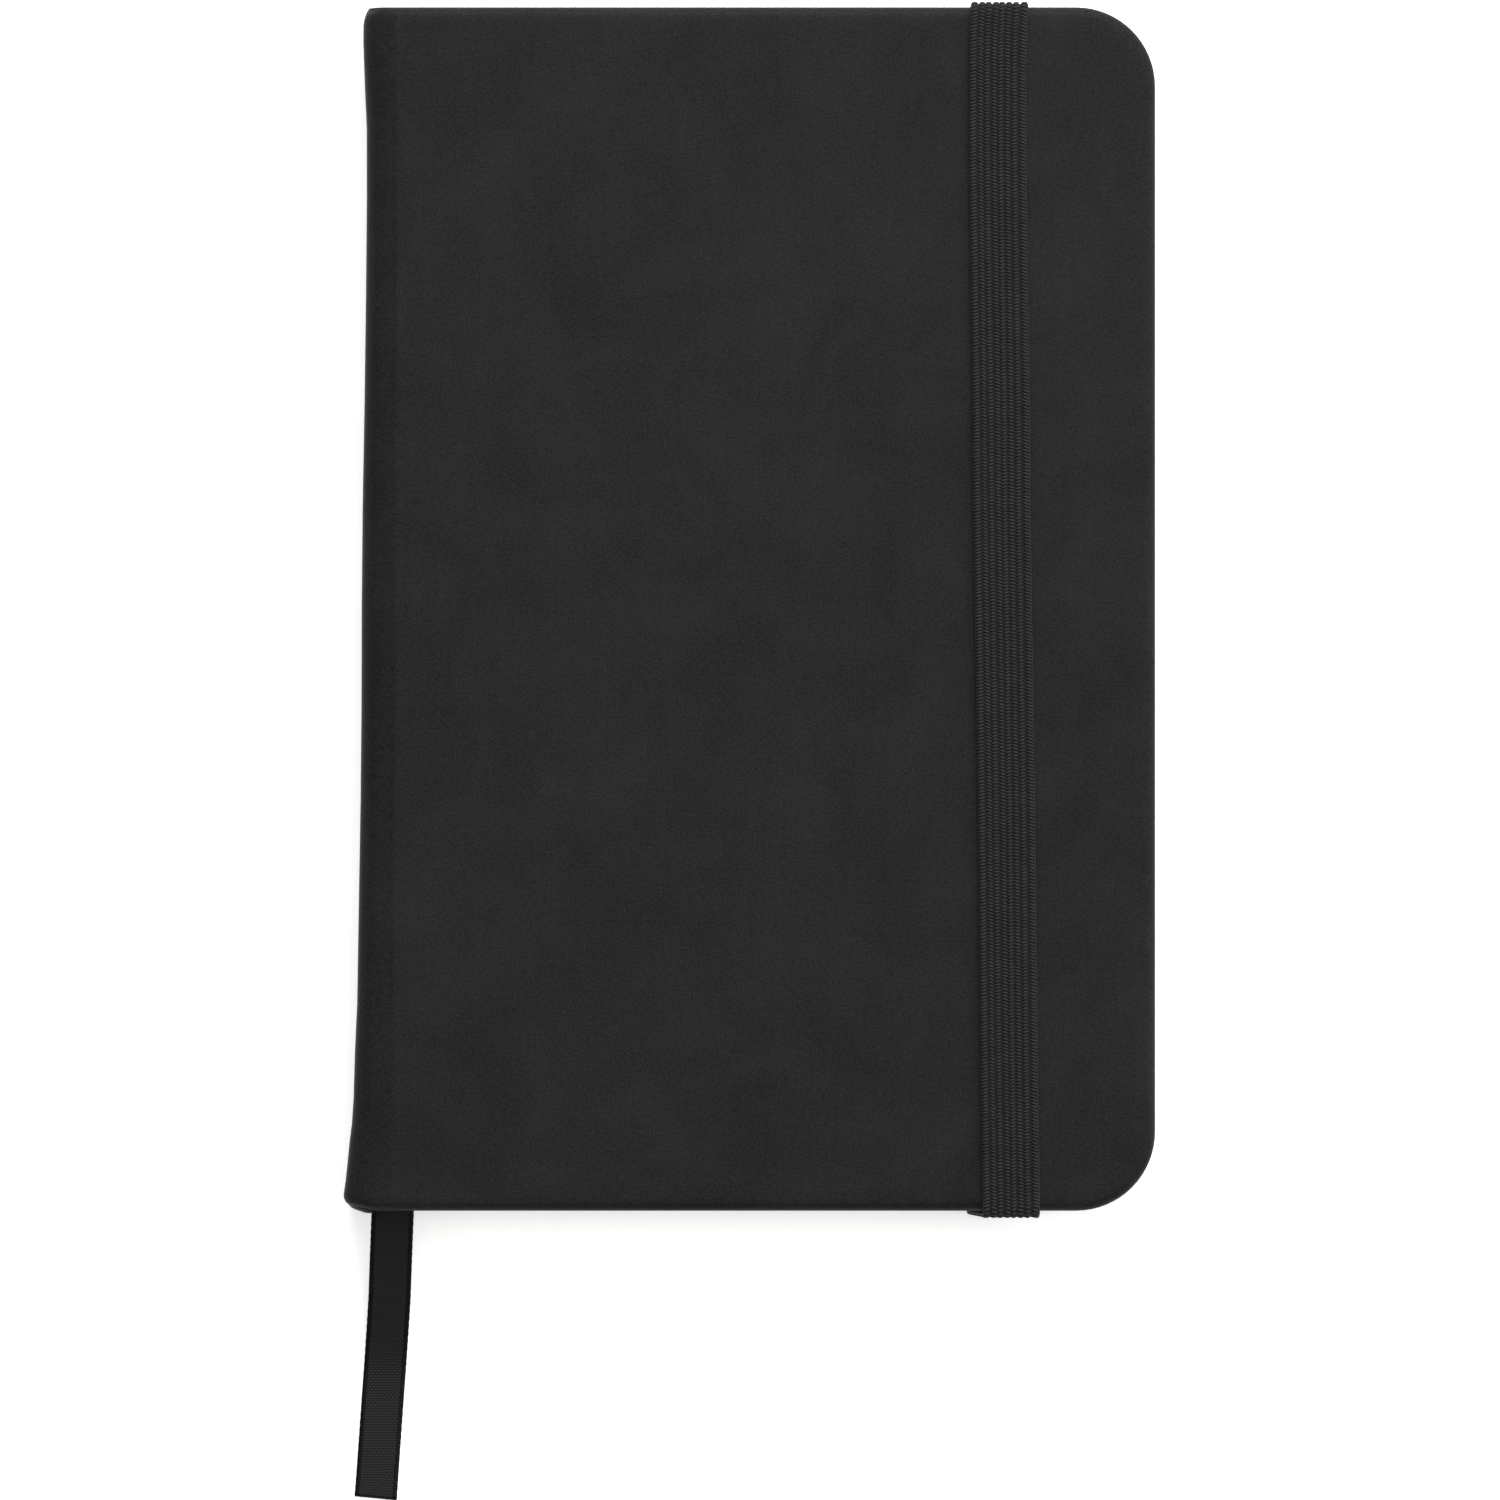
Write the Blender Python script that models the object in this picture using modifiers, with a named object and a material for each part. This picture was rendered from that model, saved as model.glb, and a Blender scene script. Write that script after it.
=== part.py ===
"""Pocket notebook with an elastic closure and a ribbon marker, lying closed on its back cover.

Metres. The origin is the middle of the back cover's outer face. +Z runs up through the leaves to the
front cover, +Y towards the head, -X towards the spine and +X towards the fore edge.

Four groups move: the back cover with the rear half of the leaves, the front half of the leaves, the
front cover, and the elastic band.
"""
import math

import bmesh
import bpy
from mathutils import Matrix, Vector

# Whole notebook
HALF_LENGTH = 0.0700  # head to tail, halved
FORE_X = 0.0462
SPINE_X = -0.0462
THICKNESS = 0.0140
CORNER_RADIUS = 0.0090
SPINE_CORNER_RADIUS = 0.0020
EDGE_ROUND = 0.00065
ARC_STEPS = 10

# Cover: grey board wrapped in coated cloth, and the sheet's cut lines where it bends
SKIN = 0.0007
FIT = 0.0001
BOARD_THICKNESS = 0.0010
COVER_CUT_X = -0.0420
CUT_GAP = 0.0003
TURN_IN_WIDTH = 0.0090
TURN_IN_THICKNESS = 0.0004
SHOULDER_RADIUS = 0.0040
MID_Z = THICKNESS / 2

# Endpapers
ENDPAPER = 0.0002
PASTEDOWN_INSET = 0.0026
PASTEDOWN_DEPTH = 0.0024
FLYLEAF_DEPTH = 0.0027

# Leaves
PAGE_SPINE_X = -0.04465
PAGE_FORE_X = 0.0435
PAGE_HALF_LENGTH = 0.0675
PAGE_CORNER_RADIUS = 0.0070
SECTIONS_PER_HALF = 5
SECTION_THICKNESS = 0.00068
SECTION_PITCH = 0.00076
FIRST_SECTION_DEPTH = 0.0030
FOLD_ROUND = 0.00030

# Spine lining and sewing
LINING_THICKNESS = 0.00025
LINING_HALF_LENGTH = 0.0640
LINING_END = 0.00025
THREAD_RADIUS = 0.00015
THREAD_X = -0.0449
THREAD_LOW = 0.0036
THREAD_HIGH = 0.00675
THREAD_STATIONS = (-0.045, 0.0, 0.045)

# Elastic band
BAND_WIDTH = 0.0067
BAND_RIBS = 8
BAND_RIB_DEPTH = 0.00012
BAND_THICKNESS = 0.0007
BAND_CLEARANCE = 0.0001
BAND_BEND = 0.0010
BAND_HEAD_X = 0.0279
BAND_TAIL_X = 0.0293
BAND_TAIL_FOOT_X = 0.0282  # the tail leg leans towards the spine on its way down
BAND_END_Z = 0.0014
TAB_THICKNESS = 0.00045
TAB_START_Z = 0.00085
TAB_CHANNEL_Z = 0.00035
TAB_SLOT_Y = 0.0603
TAB_INNER_Z = 0.0021
TAB_END_Y = 0.0500
TAB_BEND = 0.00035
SLOT_CLEARANCE = 0.0002

# Ribbon marker
RIBBON_WIDTH = 0.0049
RIBBON_THICKNESS = 0.0002
RIBBON_IN_BOOK_Z = 0.00696
RIBBON_ON_TABLE_Z = 0.00013
RIBBON_DROP_START_Y = -0.0680
RIBBON_DROP_END_Y = -0.0880
RIBBON_CENTRES = ((0.0660, -0.0419), (-0.0560, -0.0419), (-0.0703, -0.04266), (-0.0806, -0.04307),
                  (-0.0922, -0.0438), (-0.1035, -0.04465))
RIBBON_STEP = 0.0012

# Joint axes
COVER_HINGE = Vector((COVER_CUT_X, 0.0, 0.0146))
MIDDLE_HINGE = Vector((-0.0463, 0.0, MID_Z))
BAND_SWING = Vector(((BAND_HEAD_X + BAND_TAIL_X) / 2, 0.0, MID_Z))
ROOT = Vector((0.0, 0.0, 0.0))

BLACK_CLOTH = ("black_coated_cloth", (0.022, 0.022, 0.023), 0.55)
GREY_BOARD = ("grey_board", (0.32, 0.29, 0.25), 0.9)
IVORY_ENDPAPER = ("ivory_endpaper", (0.78, 0.73, 0.60), 0.85)
IVORY_PAGE = ("ivory_page", (0.83, 0.79, 0.67), 0.85)
WHITE_MULL = ("white_mull", (0.75, 0.74, 0.70), 0.9)
WHITE_THREAD = ("white_thread", (0.80, 0.79, 0.76), 0.7)
BLACK_ELASTIC = ("black_elastic", (0.030, 0.030, 0.031), 0.8)
BLACK_RIBBON = ("black_ribbon", (0.014, 0.014, 0.015), 0.6)

PARTS = "pocket_notebook"
CUTTERS = "cutters"


def clear_scene():
    """Remove what a new scene starts with."""
    for item in list(bpy.data.objects):
        bpy.data.objects.remove(item, do_unlink=True)


def collection(name):
    """The collection of this name, made when it isn't there yet."""
    if name not in bpy.data.collections:
        bpy.context.scene.collection.children.link(bpy.data.collections.new(name))
    return bpy.data.collections[name]


def material(finish):
    """The material for a (name, colour, roughness) finish."""
    name, colour, roughness = finish
    if name in bpy.data.materials:
        return bpy.data.materials[name]
    made = bpy.data.materials.new(name)
    made.use_nodes = True
    shader = made.node_tree.nodes["Principled BSDF"]
    shader.inputs["Base Color"].default_value = (*colour, 1.0)
    shader.inputs["Roughness"].default_value = roughness
    made.diffuse_color = (*colour, 1.0)
    return made


def add_part(name, work, finish, origin=ROOT, smooth=False):
    """Make a named part from a bmesh, with its object origin on its joint's axis."""
    bmesh.ops.recalc_face_normals(work, faces=work.faces)
    mesh = bpy.data.meshes.new(name)
    work.to_mesh(mesh)
    work.free()
    mesh.transform(Matrix.Translation(-origin))
    mesh.materials.append(material(finish))
    for face in mesh.polygons:
        face.use_smooth = smooth
    part = bpy.data.objects.new(name, mesh)
    part.location = origin
    collection(PARTS).objects.link(part)
    return part


def add_cutter(name, work):
    """Make a hidden cutting body from a bmesh."""
    bmesh.ops.recalc_face_normals(work, faces=work.faces)
    mesh = bpy.data.meshes.new(name)
    work.to_mesh(mesh)
    work.free()
    cutter = bpy.data.objects.new(name, mesh)
    cutter.hide_render = True
    cutter.display_type = "WIRE"
    collection(CUTTERS).objects.link(cutter)
    return cutter


def cut(part, cutter, operation="DIFFERENCE"):
    """Cut the part with the cutter."""
    modifier = part.modifiers.new(cutter.name, "BOOLEAN")
    modifier.operation = operation
    modifier.solver = "EXACT"
    modifier.object = cutter


def arc(centre, radius, start, end, steps=ARC_STEPS):
    """Points on an arc, with both ends, angles in degrees."""
    angles = [math.radians(start + (end - start) * i / steps) for i in range(steps + 1)]
    return [(centre[0] + radius * math.cos(a), centre[1] + radius * math.sin(a)) for a in angles]


def rounded_outline(low_x, high_x, half_y, high_radius, low_radius=0.0):
    """A flat outline, with one corner radius at its high x side and another at its low x side."""
    points = []
    points += arc((high_x - high_radius, -half_y + high_radius), high_radius, -90, 0)
    points += arc((high_x - high_radius, half_y - high_radius), high_radius, 0, 90)
    if low_radius:
        points += arc((low_x + low_radius, half_y - low_radius), low_radius, 90, 180)
        points += arc((low_x + low_radius, -half_y + low_radius), low_radius, 180, 270)
    else:
        points += [(low_x, half_y), (low_x, -half_y)]
    return points


def slab(outline, z_one, z_two):
    """A flat slab of this outline between two heights."""
    low, high = sorted((z_one, z_two))
    work = bmesh.new()
    corners = [work.verts.new((x, y, low)) for x, y in outline]
    base = work.faces.new(corners)
    top = bmesh.ops.extrude_face_region(work, geom=[base])["geom"]
    moved = [item for item in top if isinstance(item, bmesh.types.BMVert)]
    bmesh.ops.translate(work, verts=moved, vec=(0, 0, high - low))
    return work


def box(low, high):
    """A box between two corner points."""
    work = bmesh.new()
    bmesh.ops.create_cube(work, size=1.0)
    size = Vector(high) - Vector(low)
    centre = (Vector(high) + Vector(low)) / 2
    bmesh.ops.scale(work, verts=work.verts, vec=size)
    bmesh.ops.translate(work, verts=work.verts, vec=centre)
    return work


def from_outside(outer_z, inward, depth):
    """The height at this depth in from a cover's outer face."""
    return outer_z + inward * depth


def cover_outline(inset, low_x):
    """A cover's outline, taken in by the inset on its three free sides."""
    radius = CORNER_RADIUS - inset
    return rounded_outline(low_x, FORE_X - inset, HALF_LENGTH - inset, radius)


def round_outer_edges(work, outer_z, low_x):
    """Round the free edges of a cover's outer face."""
    def free(edge):
        at_face = all(abs(v.co.z - outer_z) < FIT / 10 for v in edge.verts)
        at_cut = all(abs(v.co.x - low_x) < FIT / 10 for v in edge.verts)
        return at_face and not at_cut
    edges = [edge for edge in work.edges if free(edge)]
    bmesh.ops.bevel(work, geom=edges, offset=EDGE_ROUND, segments=3, profile=0.5, affect="EDGES",
                    offset_type="OFFSET", material=-1)


def cover_skin(name, outer_z, inward, origin):
    """Coated cloth wrapped over a board: outer sheet, edge, and turn-ins on three inner sides."""
    low_x = COVER_CUT_X + CUT_GAP / 2
    inner = SKIN + BOARD_THICKNESS + 2 * FIT
    full = inner + TURN_IN_THICKNESS
    work = slab(cover_outline(0.0, low_x), outer_z, from_outside(outer_z, inward, full))
    round_outer_edges(work, outer_z, low_x)
    skin = add_part(name, work, BLACK_CLOTH, origin)
    hollow = slab(cover_outline(SKIN, low_x - SKIN), from_outside(outer_z, inward, SKIN),
                  from_outside(outer_z, inward, inner))
    cut(skin, add_cutter(name + "_board_space", hollow))
    window = slab(cover_outline(TURN_IN_WIDTH - SKIN, low_x - 2 * SKIN),
                  from_outside(outer_z, inward, (SKIN + inner) / 2),
                  from_outside(outer_z, inward, full + SKIN))
    cut(skin, add_cutter(name + "_turn_in_window", window))
    return skin


def cover_board(name, outer_z, inward, origin):
    """The grey board inside a cover."""
    top = SKIN + FIT
    outline = cover_outline(SKIN + FIT, COVER_CUT_X + CUT_GAP)
    work = slab(outline, from_outside(outer_z, inward, top),
                from_outside(outer_z, inward, top + BOARD_THICKNESS))
    return add_part(name, work, GREY_BOARD, origin)


def pastedown(name, outer_z, inward, origin):
    """The endpaper leaf glued to the inside of a cover."""
    outline = cover_outline(PASTEDOWN_INSET, COVER_CUT_X + CUT_GAP / 2)
    work = slab(outline, from_outside(outer_z, inward, PASTEDOWN_DEPTH),
                from_outside(outer_z, inward, PASTEDOWN_DEPTH + ENDPAPER))
    return add_part(name, work, IVORY_ENDPAPER, origin)


def page_outline():
    """The outline of a leaf, rounded at the fore edge."""
    return rounded_outline(PAGE_SPINE_X, PAGE_FORE_X, PAGE_HALF_LENGTH, PAGE_CORNER_RADIUS)


def flyleaf(name, outer_z, inward, origin):
    """The free leaf of an endpaper."""
    work = slab(page_outline(), from_outside(outer_z, inward, FLYLEAF_DEPTH),
                from_outside(outer_z, inward, FLYLEAF_DEPTH + ENDPAPER))
    return add_part(name, work, IVORY_ENDPAPER, origin)


def page_section(name, low_z, origin):
    """One sewn section: a gathering of folded leaves with a rounded fold at the spine."""
    work = slab(page_outline(), low_z, low_z + SECTION_THICKNESS)
    fold = [edge for edge in work.edges
            if all(abs(v.co.x - PAGE_SPINE_X) < FIT / 10 for v in edge.verts)
            and abs(edge.verts[0].co.y - edge.verts[1].co.y) > PAGE_HALF_LENGTH]
    bmesh.ops.bevel(work, geom=fold, offset=FOLD_ROUND, segments=4, profile=0.5, affect="EDGES",
                    offset_type="OFFSET", material=-1)
    return add_part(name, work, IVORY_PAGE, origin)


def bent_strip(profile, half_length):
    """A strip with this closed outline in XZ, along Y to both sides of the middle."""
    work = bmesh.new()
    corners = [work.verts.new((x, -half_length, z)) for x, z in profile]
    base = work.faces.new(corners)
    far = bmesh.ops.extrude_face_region(work, geom=[base])["geom"]
    moved = [item for item in far if isinstance(item, bmesh.types.BMVert)]
    bmesh.ops.translate(work, verts=moved, vec=(0, 2 * half_length, 0))
    return work


def spine_profile(outer, thickness, start_angle, low_run, high_depth):
    """A strip's outline that rolls round a cover's shoulder and on up the spine.

    outer is how far the strip's outer side lies inside the spine's own outer face.
    """
    centre = (SPINE_X + SHOULDER_RADIUS, SHOULDER_RADIUS)
    big = SHOULDER_RADIUS - outer
    small = big - thickness
    outside = arc(centre, big, start_angle, 180)
    inside = arc(centre, small, 180, start_angle)
    points = outside + [(centre[0] - big, high_depth), (centre[0] - small, high_depth)] + inside
    if low_run:
        points += [(centre[0] + low_run, inside[-1][1]), (centre[0] + low_run, outside[0][1])]
    return points


def turned_over(points, outer_z, inward):
    """The outline's points, measured in from the cover's outer face at outer_z."""
    return [(x, from_outside(outer_z, inward, z)) for x, z in points]


def spine_skin(name, outer_z, inward, origin):
    """Half of the spine's coated cloth: from the cover's cut line round its shoulder to mid height."""
    low_run = COVER_CUT_X - CUT_GAP / 2 - (SPINE_X + SHOULDER_RADIUS)
    profile = spine_profile(0.0, SKIN, 270, low_run, MID_Z - CUT_GAP / 2)
    work = bent_strip(turned_over(profile, outer_z, inward), HALF_LENGTH)
    skin = add_part(name, work, BLACK_CLOTH, origin)
    footprint = slab(rounded_outline(SPINE_X, 0.0, HALF_LENGTH, SPINE_CORNER_RADIUS,
                                     SPINE_CORNER_RADIUS), -SKIN, THICKNESS + SKIN)
    cut(skin, add_cutter(name + "_footprint", footprint), "INTERSECT")
    return skin


def spine_lining(name, outer_z, inward, origin):
    """The mull glued down the folds, inside the spine's cloth."""
    profile = spine_profile(SKIN + FIT, LINING_THICKNESS, 220, 0.0, MID_Z - LINING_END)
    work = bent_strip(turned_over(profile, outer_z, inward), LINING_HALF_LENGTH)
    return add_part(name, work, WHITE_MULL, origin)


def sewing_thread(name, y, outer_z, inward, origin):
    """One run of sewing thread across the folds of half the sections."""
    work = bmesh.new()
    length = THREAD_HIGH - THREAD_LOW
    bmesh.ops.create_cone(work, cap_ends=True, segments=12, radius1=THREAD_RADIUS,
                          radius2=THREAD_RADIUS, depth=length)
    middle = from_outside(outer_z, inward, (THREAD_HIGH + THREAD_LOW) / 2)
    bmesh.ops.translate(work, verts=work.verts, vec=(THREAD_X, y, middle))
    return add_part(name, work, WHITE_THREAD, origin, smooth=True)


def band_profile():
    """The elastic's ribbed cross-section, as a closed curve."""
    curve = bpy.data.curves.new("band_profile", "CURVE")
    curve.dimensions = "2D"
    steps = BAND_RIBS * 4
    half = BAND_WIDTH / 2
    across = [-half + BAND_WIDTH * i / steps for i in range(steps + 1)]
    rise = [BAND_THICKNESS / 2 - BAND_RIB_DEPTH * (1 + math.cos(math.pi * i / 2)) / 2
            for i in range(steps + 1)]
    points = list(zip(across, rise)) + [(x, -z) for x, z in reversed(list(zip(across, rise)))]
    spline = curve.splines.new("POLY")
    spline.points.add(len(points) - 1)
    for point, (x, z) in zip(spline.points, points):
        point.co = (x, z, 0.0, 1.0)
    spline.use_cyclic_u = True
    profile = bpy.data.objects.new("band_profile", curve)
    profile.hide_render = True
    collection(CUTTERS).objects.link(profile)
    return profile


def band_path():
    """The middle line of the elastic over the front cover, with a leg down past the head and tail."""
    y = HALF_LENGTH + BAND_CLEARANCE + BAND_THICKNESS / 2
    z = THICKNESS + BAND_CLEARANCE + BAND_THICKNESS / 2
    bend = BAND_BEND
    side = arc((y - bend, z - bend), bend, 0, 90, 6)
    head = [(y, BAND_END_Z)] + side
    path = head + [(-a, b) for a, b in reversed(head)]
    slope = (BAND_HEAD_X - BAND_TAIL_X) / (2 * y)
    line = [(BAND_SWING.x + slope * a, a, b) for a, b in path]
    return line[:-1] + [(BAND_TAIL_FOOT_X, *line[-1][1:])]


def elastic_band():
    """The part of the elastic that stretches and swings: its run over the front, and two legs."""
    curve = bpy.data.curves.new("elastic_band_path", "CURVE")
    curve.dimensions = "3D"
    curve.twist_mode = "MINIMUM"
    curve.use_fill_caps = True
    spline = curve.splines.new("POLY")
    path = band_path()
    spline.points.add(len(path) - 1)
    for point, at in zip(spline.points, path):
        point.co = (*at, 1.0)
    profile = band_profile()
    curve.bevel_mode = "OBJECT"
    curve.bevel_object = profile
    sweep = bpy.data.objects.new("elastic_band_path", curve)
    collection(CUTTERS).objects.link(sweep)
    bpy.context.view_layer.update()
    seen = sweep.evaluated_get(bpy.context.evaluated_depsgraph_get())
    mesh = bpy.data.meshes.new_from_object(seen)
    bpy.data.objects.remove(sweep, do_unlink=True)
    bpy.data.objects.remove(profile, do_unlink=True)
    work = bmesh.new()
    work.from_mesh(mesh)
    bpy.data.meshes.remove(mesh)
    bmesh.ops.remove_doubles(work, verts=work.verts, dist=FIT / 10)
    return add_part("elastic_band", work, BLACK_ELASTIC, BAND_SWING)


def strip_along(path, width, across=Vector((1.0, 0.0, 0.0))):
    """A flat strip of this width with the path down its middle."""
    work = bmesh.new()
    line = [work.verts.new(Vector(at) - across * width / 2) for at in path]
    edges = [work.edges.new(pair) for pair in zip(line, line[1:])]
    far = bmesh.ops.extrude_edge_only(work, edges=edges)["geom"]
    moved = [item for item in far if isinstance(item, bmesh.types.BMVert)]
    bmesh.ops.translate(work, verts=moved, vec=across * width)
    return work


def thicken(part, thickness):
    """Give a strip its thickness, half to each side."""
    shell = part.modifiers.new("thickness", "SOLIDIFY")
    shell.thickness = thickness
    shell.offset = 0.0
    shell.use_even_offset = True


def elastic_end(name, x, side):
    """A fixed end: down in the back cover's channel, through the board's slot, glued down inside."""
    y_out = HALF_LENGTH + BAND_CLEARANCE + TAB_THICKNESS / 2
    bend = TAB_BEND
    down = arc((y_out - bend, TAB_CHANNEL_Z + bend), bend, 0, -90, 4)
    up = arc((TAB_SLOT_Y + bend, TAB_CHANNEL_Z + bend), bend, 270, 180, 4)
    over = arc((TAB_SLOT_Y - bend, TAB_INNER_Z - bend), bend, 0, 90, 4)
    points = [(y_out, TAB_START_Z)] + down + up + over + [(TAB_END_Y, TAB_INNER_Z)]
    path = [(x, side * y, z) for y, z in points]
    end = add_part(name, strip_along(path, BAND_WIDTH), BLACK_ELASTIC)
    thicken(end, TAB_THICKNESS)
    return end


def channel(name, x, side):
    """The channel in the back cover's cloth that an elastic end lies in."""
    half = BAND_WIDTH / 2 + SLOT_CLEARANCE
    y_in = TAB_SLOT_Y - TAB_THICKNESS / 2 - SLOT_CLEARANCE
    ys = sorted((side * y_in, side * (HALF_LENGTH + SKIN)))
    return add_cutter(name, box((x - half, ys[0], -SKIN), (x + half, ys[1], SKIN + FIT / 2)))


def board_slot(name, x, side):
    """The slot through the back board for an elastic end."""
    half = BAND_WIDTH / 2 + SLOT_CLEARANCE
    reach = TAB_THICKNESS / 2 + SLOT_CLEARANCE
    ys = sorted((side * (TAB_SLOT_Y - reach), side * (TAB_SLOT_Y + reach)))
    return add_cutter(name, box((x - half, ys[0], 0.0), (x + half, ys[1], PASTEDOWN_DEPTH)))


def ribbon_centre(y):
    """The ribbon's middle at this y: straight runs between the listed points, and its fall to the table."""
    pairs = list(zip(RIBBON_CENTRES, RIBBON_CENTRES[1:]))
    (y_one, x_one), (y_two, x_two) = next(
        (pair for pair in pairs if pair[1][0] <= y <= pair[0][0]), pairs[-1])
    x = x_one + (x_two - x_one) * (y - y_one) / (y_two - y_one)
    share = (RIBBON_DROP_START_Y - y) / (RIBBON_DROP_START_Y - RIBBON_DROP_END_Y)
    share = min(max(share, 0.0), 1.0)
    fall = share * share * (3 - 2 * share)
    return (x, y, RIBBON_IN_BOOK_Z + (RIBBON_ON_TABLE_Z - RIBBON_IN_BOOK_Z) * fall)


def ribbon_bookmark():
    """The ribbon: held at the head between the middle sections, out at the tail, down to the table."""
    start = RIBBON_CENTRES[0][0]
    end = RIBBON_CENTRES[-1][0]
    inside = [start, RIBBON_CENTRES[1][0]]
    count = round((RIBBON_CENTRES[1][0] - end) / RIBBON_STEP)
    outside = [RIBBON_CENTRES[1][0] + (end - RIBBON_CENTRES[1][0]) * i / count
               for i in range(1, count + 1)]
    path = [ribbon_centre(y) for y in inside + outside]
    ribbon = add_part("ribbon_bookmark", strip_along(path, RIBBON_WIDTH), BLACK_RIBBON)
    thicken(ribbon, RIBBON_THICKNESS)
    return ribbon


def spine_half(word, outer_z, inward, origin):
    """The cloth, lining and threads of one half of the spine."""
    spine_skin("spine_skin_" + word, outer_z, inward, origin)
    spine_lining("spine_lining_" + word, outer_z, inward, origin)
    for number, y in enumerate(THREAD_STATIONS, 1):
        sewing_thread(f"sewing_thread_{word}_{number}", y, outer_z, inward, origin)


def page_sections(first_number, low_z, origin):
    """The sections of one half of the leaves, from the lowest up."""
    for index in range(SECTIONS_PER_HALF):
        name = f"page_section_{first_number + index:02d}"
        page_section(name, low_z + SECTION_PITCH * index, origin)


def rear_group():
    """The back cover with the rear half of the leaves, which everything else moves on."""
    skin = cover_skin("back_cover_skin", 0.0, 1, ROOT)
    board = cover_board("back_board", 0.0, 1, ROOT)
    for word, x, side in (("head", BAND_HEAD_X, 1), ("tail", BAND_TAIL_FOOT_X, -1)):
        cut(skin, channel(f"{word}_channel", x, side))
        cut(board, board_slot(f"{word}_slot", x, side))
        elastic_end(f"elastic_{word}_end", x, side)
    pastedown("back_pastedown", 0.0, 1, ROOT)
    flyleaf("back_flyleaf", 0.0, 1, ROOT)
    page_sections(1, FIRST_SECTION_DEPTH, ROOT)
    spine_half("lower", 0.0, 1, ROOT)
    ribbon_bookmark()


def front_leaves_group():
    """The front half of the leaves with its half of the spine, which turns over at the ribbon."""
    top_run = SECTION_PITCH * (SECTIONS_PER_HALF - 1) + SECTION_THICKNESS
    low_z = THICKNESS - FIRST_SECTION_DEPTH - top_run
    page_sections(SECTIONS_PER_HALF + 1, low_z, MIDDLE_HINGE)
    flyleaf("front_flyleaf", THICKNESS, -1, MIDDLE_HINGE)
    spine_half("upper", THICKNESS, -1, MIDDLE_HINGE)


def front_cover_group():
    """The front cover, which opens at its shoulder."""
    cover_skin("front_cover_skin", THICKNESS, -1, COVER_HINGE)
    cover_board("front_board", THICKNESS, -1, COVER_HINGE)
    pastedown("front_pastedown", THICKNESS, -1, COVER_HINGE)


def build():
    """Make the whole notebook."""
    clear_scene()
    rear_group()
    front_leaves_group()
    front_cover_group()
    elastic_band()


build()
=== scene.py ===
"""Looks for a black pocket notebook with an elastic closure and a ribbon marker.

The notebook lies closed on its back cover. Each class below is one sub-assembly: the cloth case, the leaves,
the endpapers, the elastic, the ribbon, and the studio round them. Lengths are metres; a finish takes its
pattern sizes in millimetres.
"""
from __future__ import annotations

import logging
import math
import random
from dataclasses import dataclass, field
from enum import Enum
from typing import Any, Iterable, Sequence

import bmesh
import bpy
from mathutils import Matrix, Vector

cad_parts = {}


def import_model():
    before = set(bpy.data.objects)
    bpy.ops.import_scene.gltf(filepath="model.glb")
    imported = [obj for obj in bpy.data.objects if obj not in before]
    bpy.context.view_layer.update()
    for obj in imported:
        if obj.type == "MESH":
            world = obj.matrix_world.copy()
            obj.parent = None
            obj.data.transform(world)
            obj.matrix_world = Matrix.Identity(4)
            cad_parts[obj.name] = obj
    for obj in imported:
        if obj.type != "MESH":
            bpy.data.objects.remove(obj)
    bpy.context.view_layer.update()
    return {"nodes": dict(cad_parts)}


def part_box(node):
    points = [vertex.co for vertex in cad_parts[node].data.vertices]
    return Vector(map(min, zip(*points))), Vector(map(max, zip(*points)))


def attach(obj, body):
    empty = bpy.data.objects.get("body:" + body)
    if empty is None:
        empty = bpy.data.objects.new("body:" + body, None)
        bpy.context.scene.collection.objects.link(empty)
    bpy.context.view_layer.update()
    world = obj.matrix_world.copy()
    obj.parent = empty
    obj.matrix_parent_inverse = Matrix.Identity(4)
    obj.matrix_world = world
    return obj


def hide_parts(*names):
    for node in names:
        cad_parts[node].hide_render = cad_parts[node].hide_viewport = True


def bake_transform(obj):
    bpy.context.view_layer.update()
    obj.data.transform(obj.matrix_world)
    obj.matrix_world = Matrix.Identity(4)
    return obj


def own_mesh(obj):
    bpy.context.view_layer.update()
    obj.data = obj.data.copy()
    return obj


log = logging.getLogger("notebook")
MM = 0.001
Point = tuple[float, float, float]
# How near two places have to be to count as one, when faces are picked and when they are cut.
TOUCH = 1e-6
CUT = 1e-7


class Body(str, Enum):
    """The rigid bodies that pieces ride on."""

    BACK = "back_cover"
    LEAVES = "front_leaves"
    FRONT = "front_cover"
    ELASTIC = "elastic"


class Slot(str, Enum):
    """The record's material slots."""

    CLOTH = "black_coated_cloth"
    ENDPAPER = "ivory_endpaper"
    PAGE = "ivory_page"
    ELASTIC = "black_elastic"
    RIBBON = "black_ribbon"


class Joint(str, Enum):
    """The record's joint for the elastic's swing."""

    SWING = "elastic_swing"


# ---------------------------------------------------------------- small helpers


def linear(colour: str) -> tuple[float, float, float, float]:
    """Turn an sRGB hex colour to linear RGBA.

    Args:
        colour: six hex digits after a hash.

    Returns:
        Linear red, green, blue and an alpha of one.
    """
    parts = [int(colour[i:i + 2], 16) / 255 for i in (1, 3, 5)]
    made = [p / 12.92 if p <= 0.04045 else ((p + 0.055) / 1.055) ** 2.4 for p in parts]
    return (made[0], made[1], made[2], 1.0)


def smooth(share: float) -> float:
    """Ease a share from 0 to 1 in and out."""
    share = min(max(share, 0.0), 1.0)
    return share * share * (3 - 2 * share)


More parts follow.
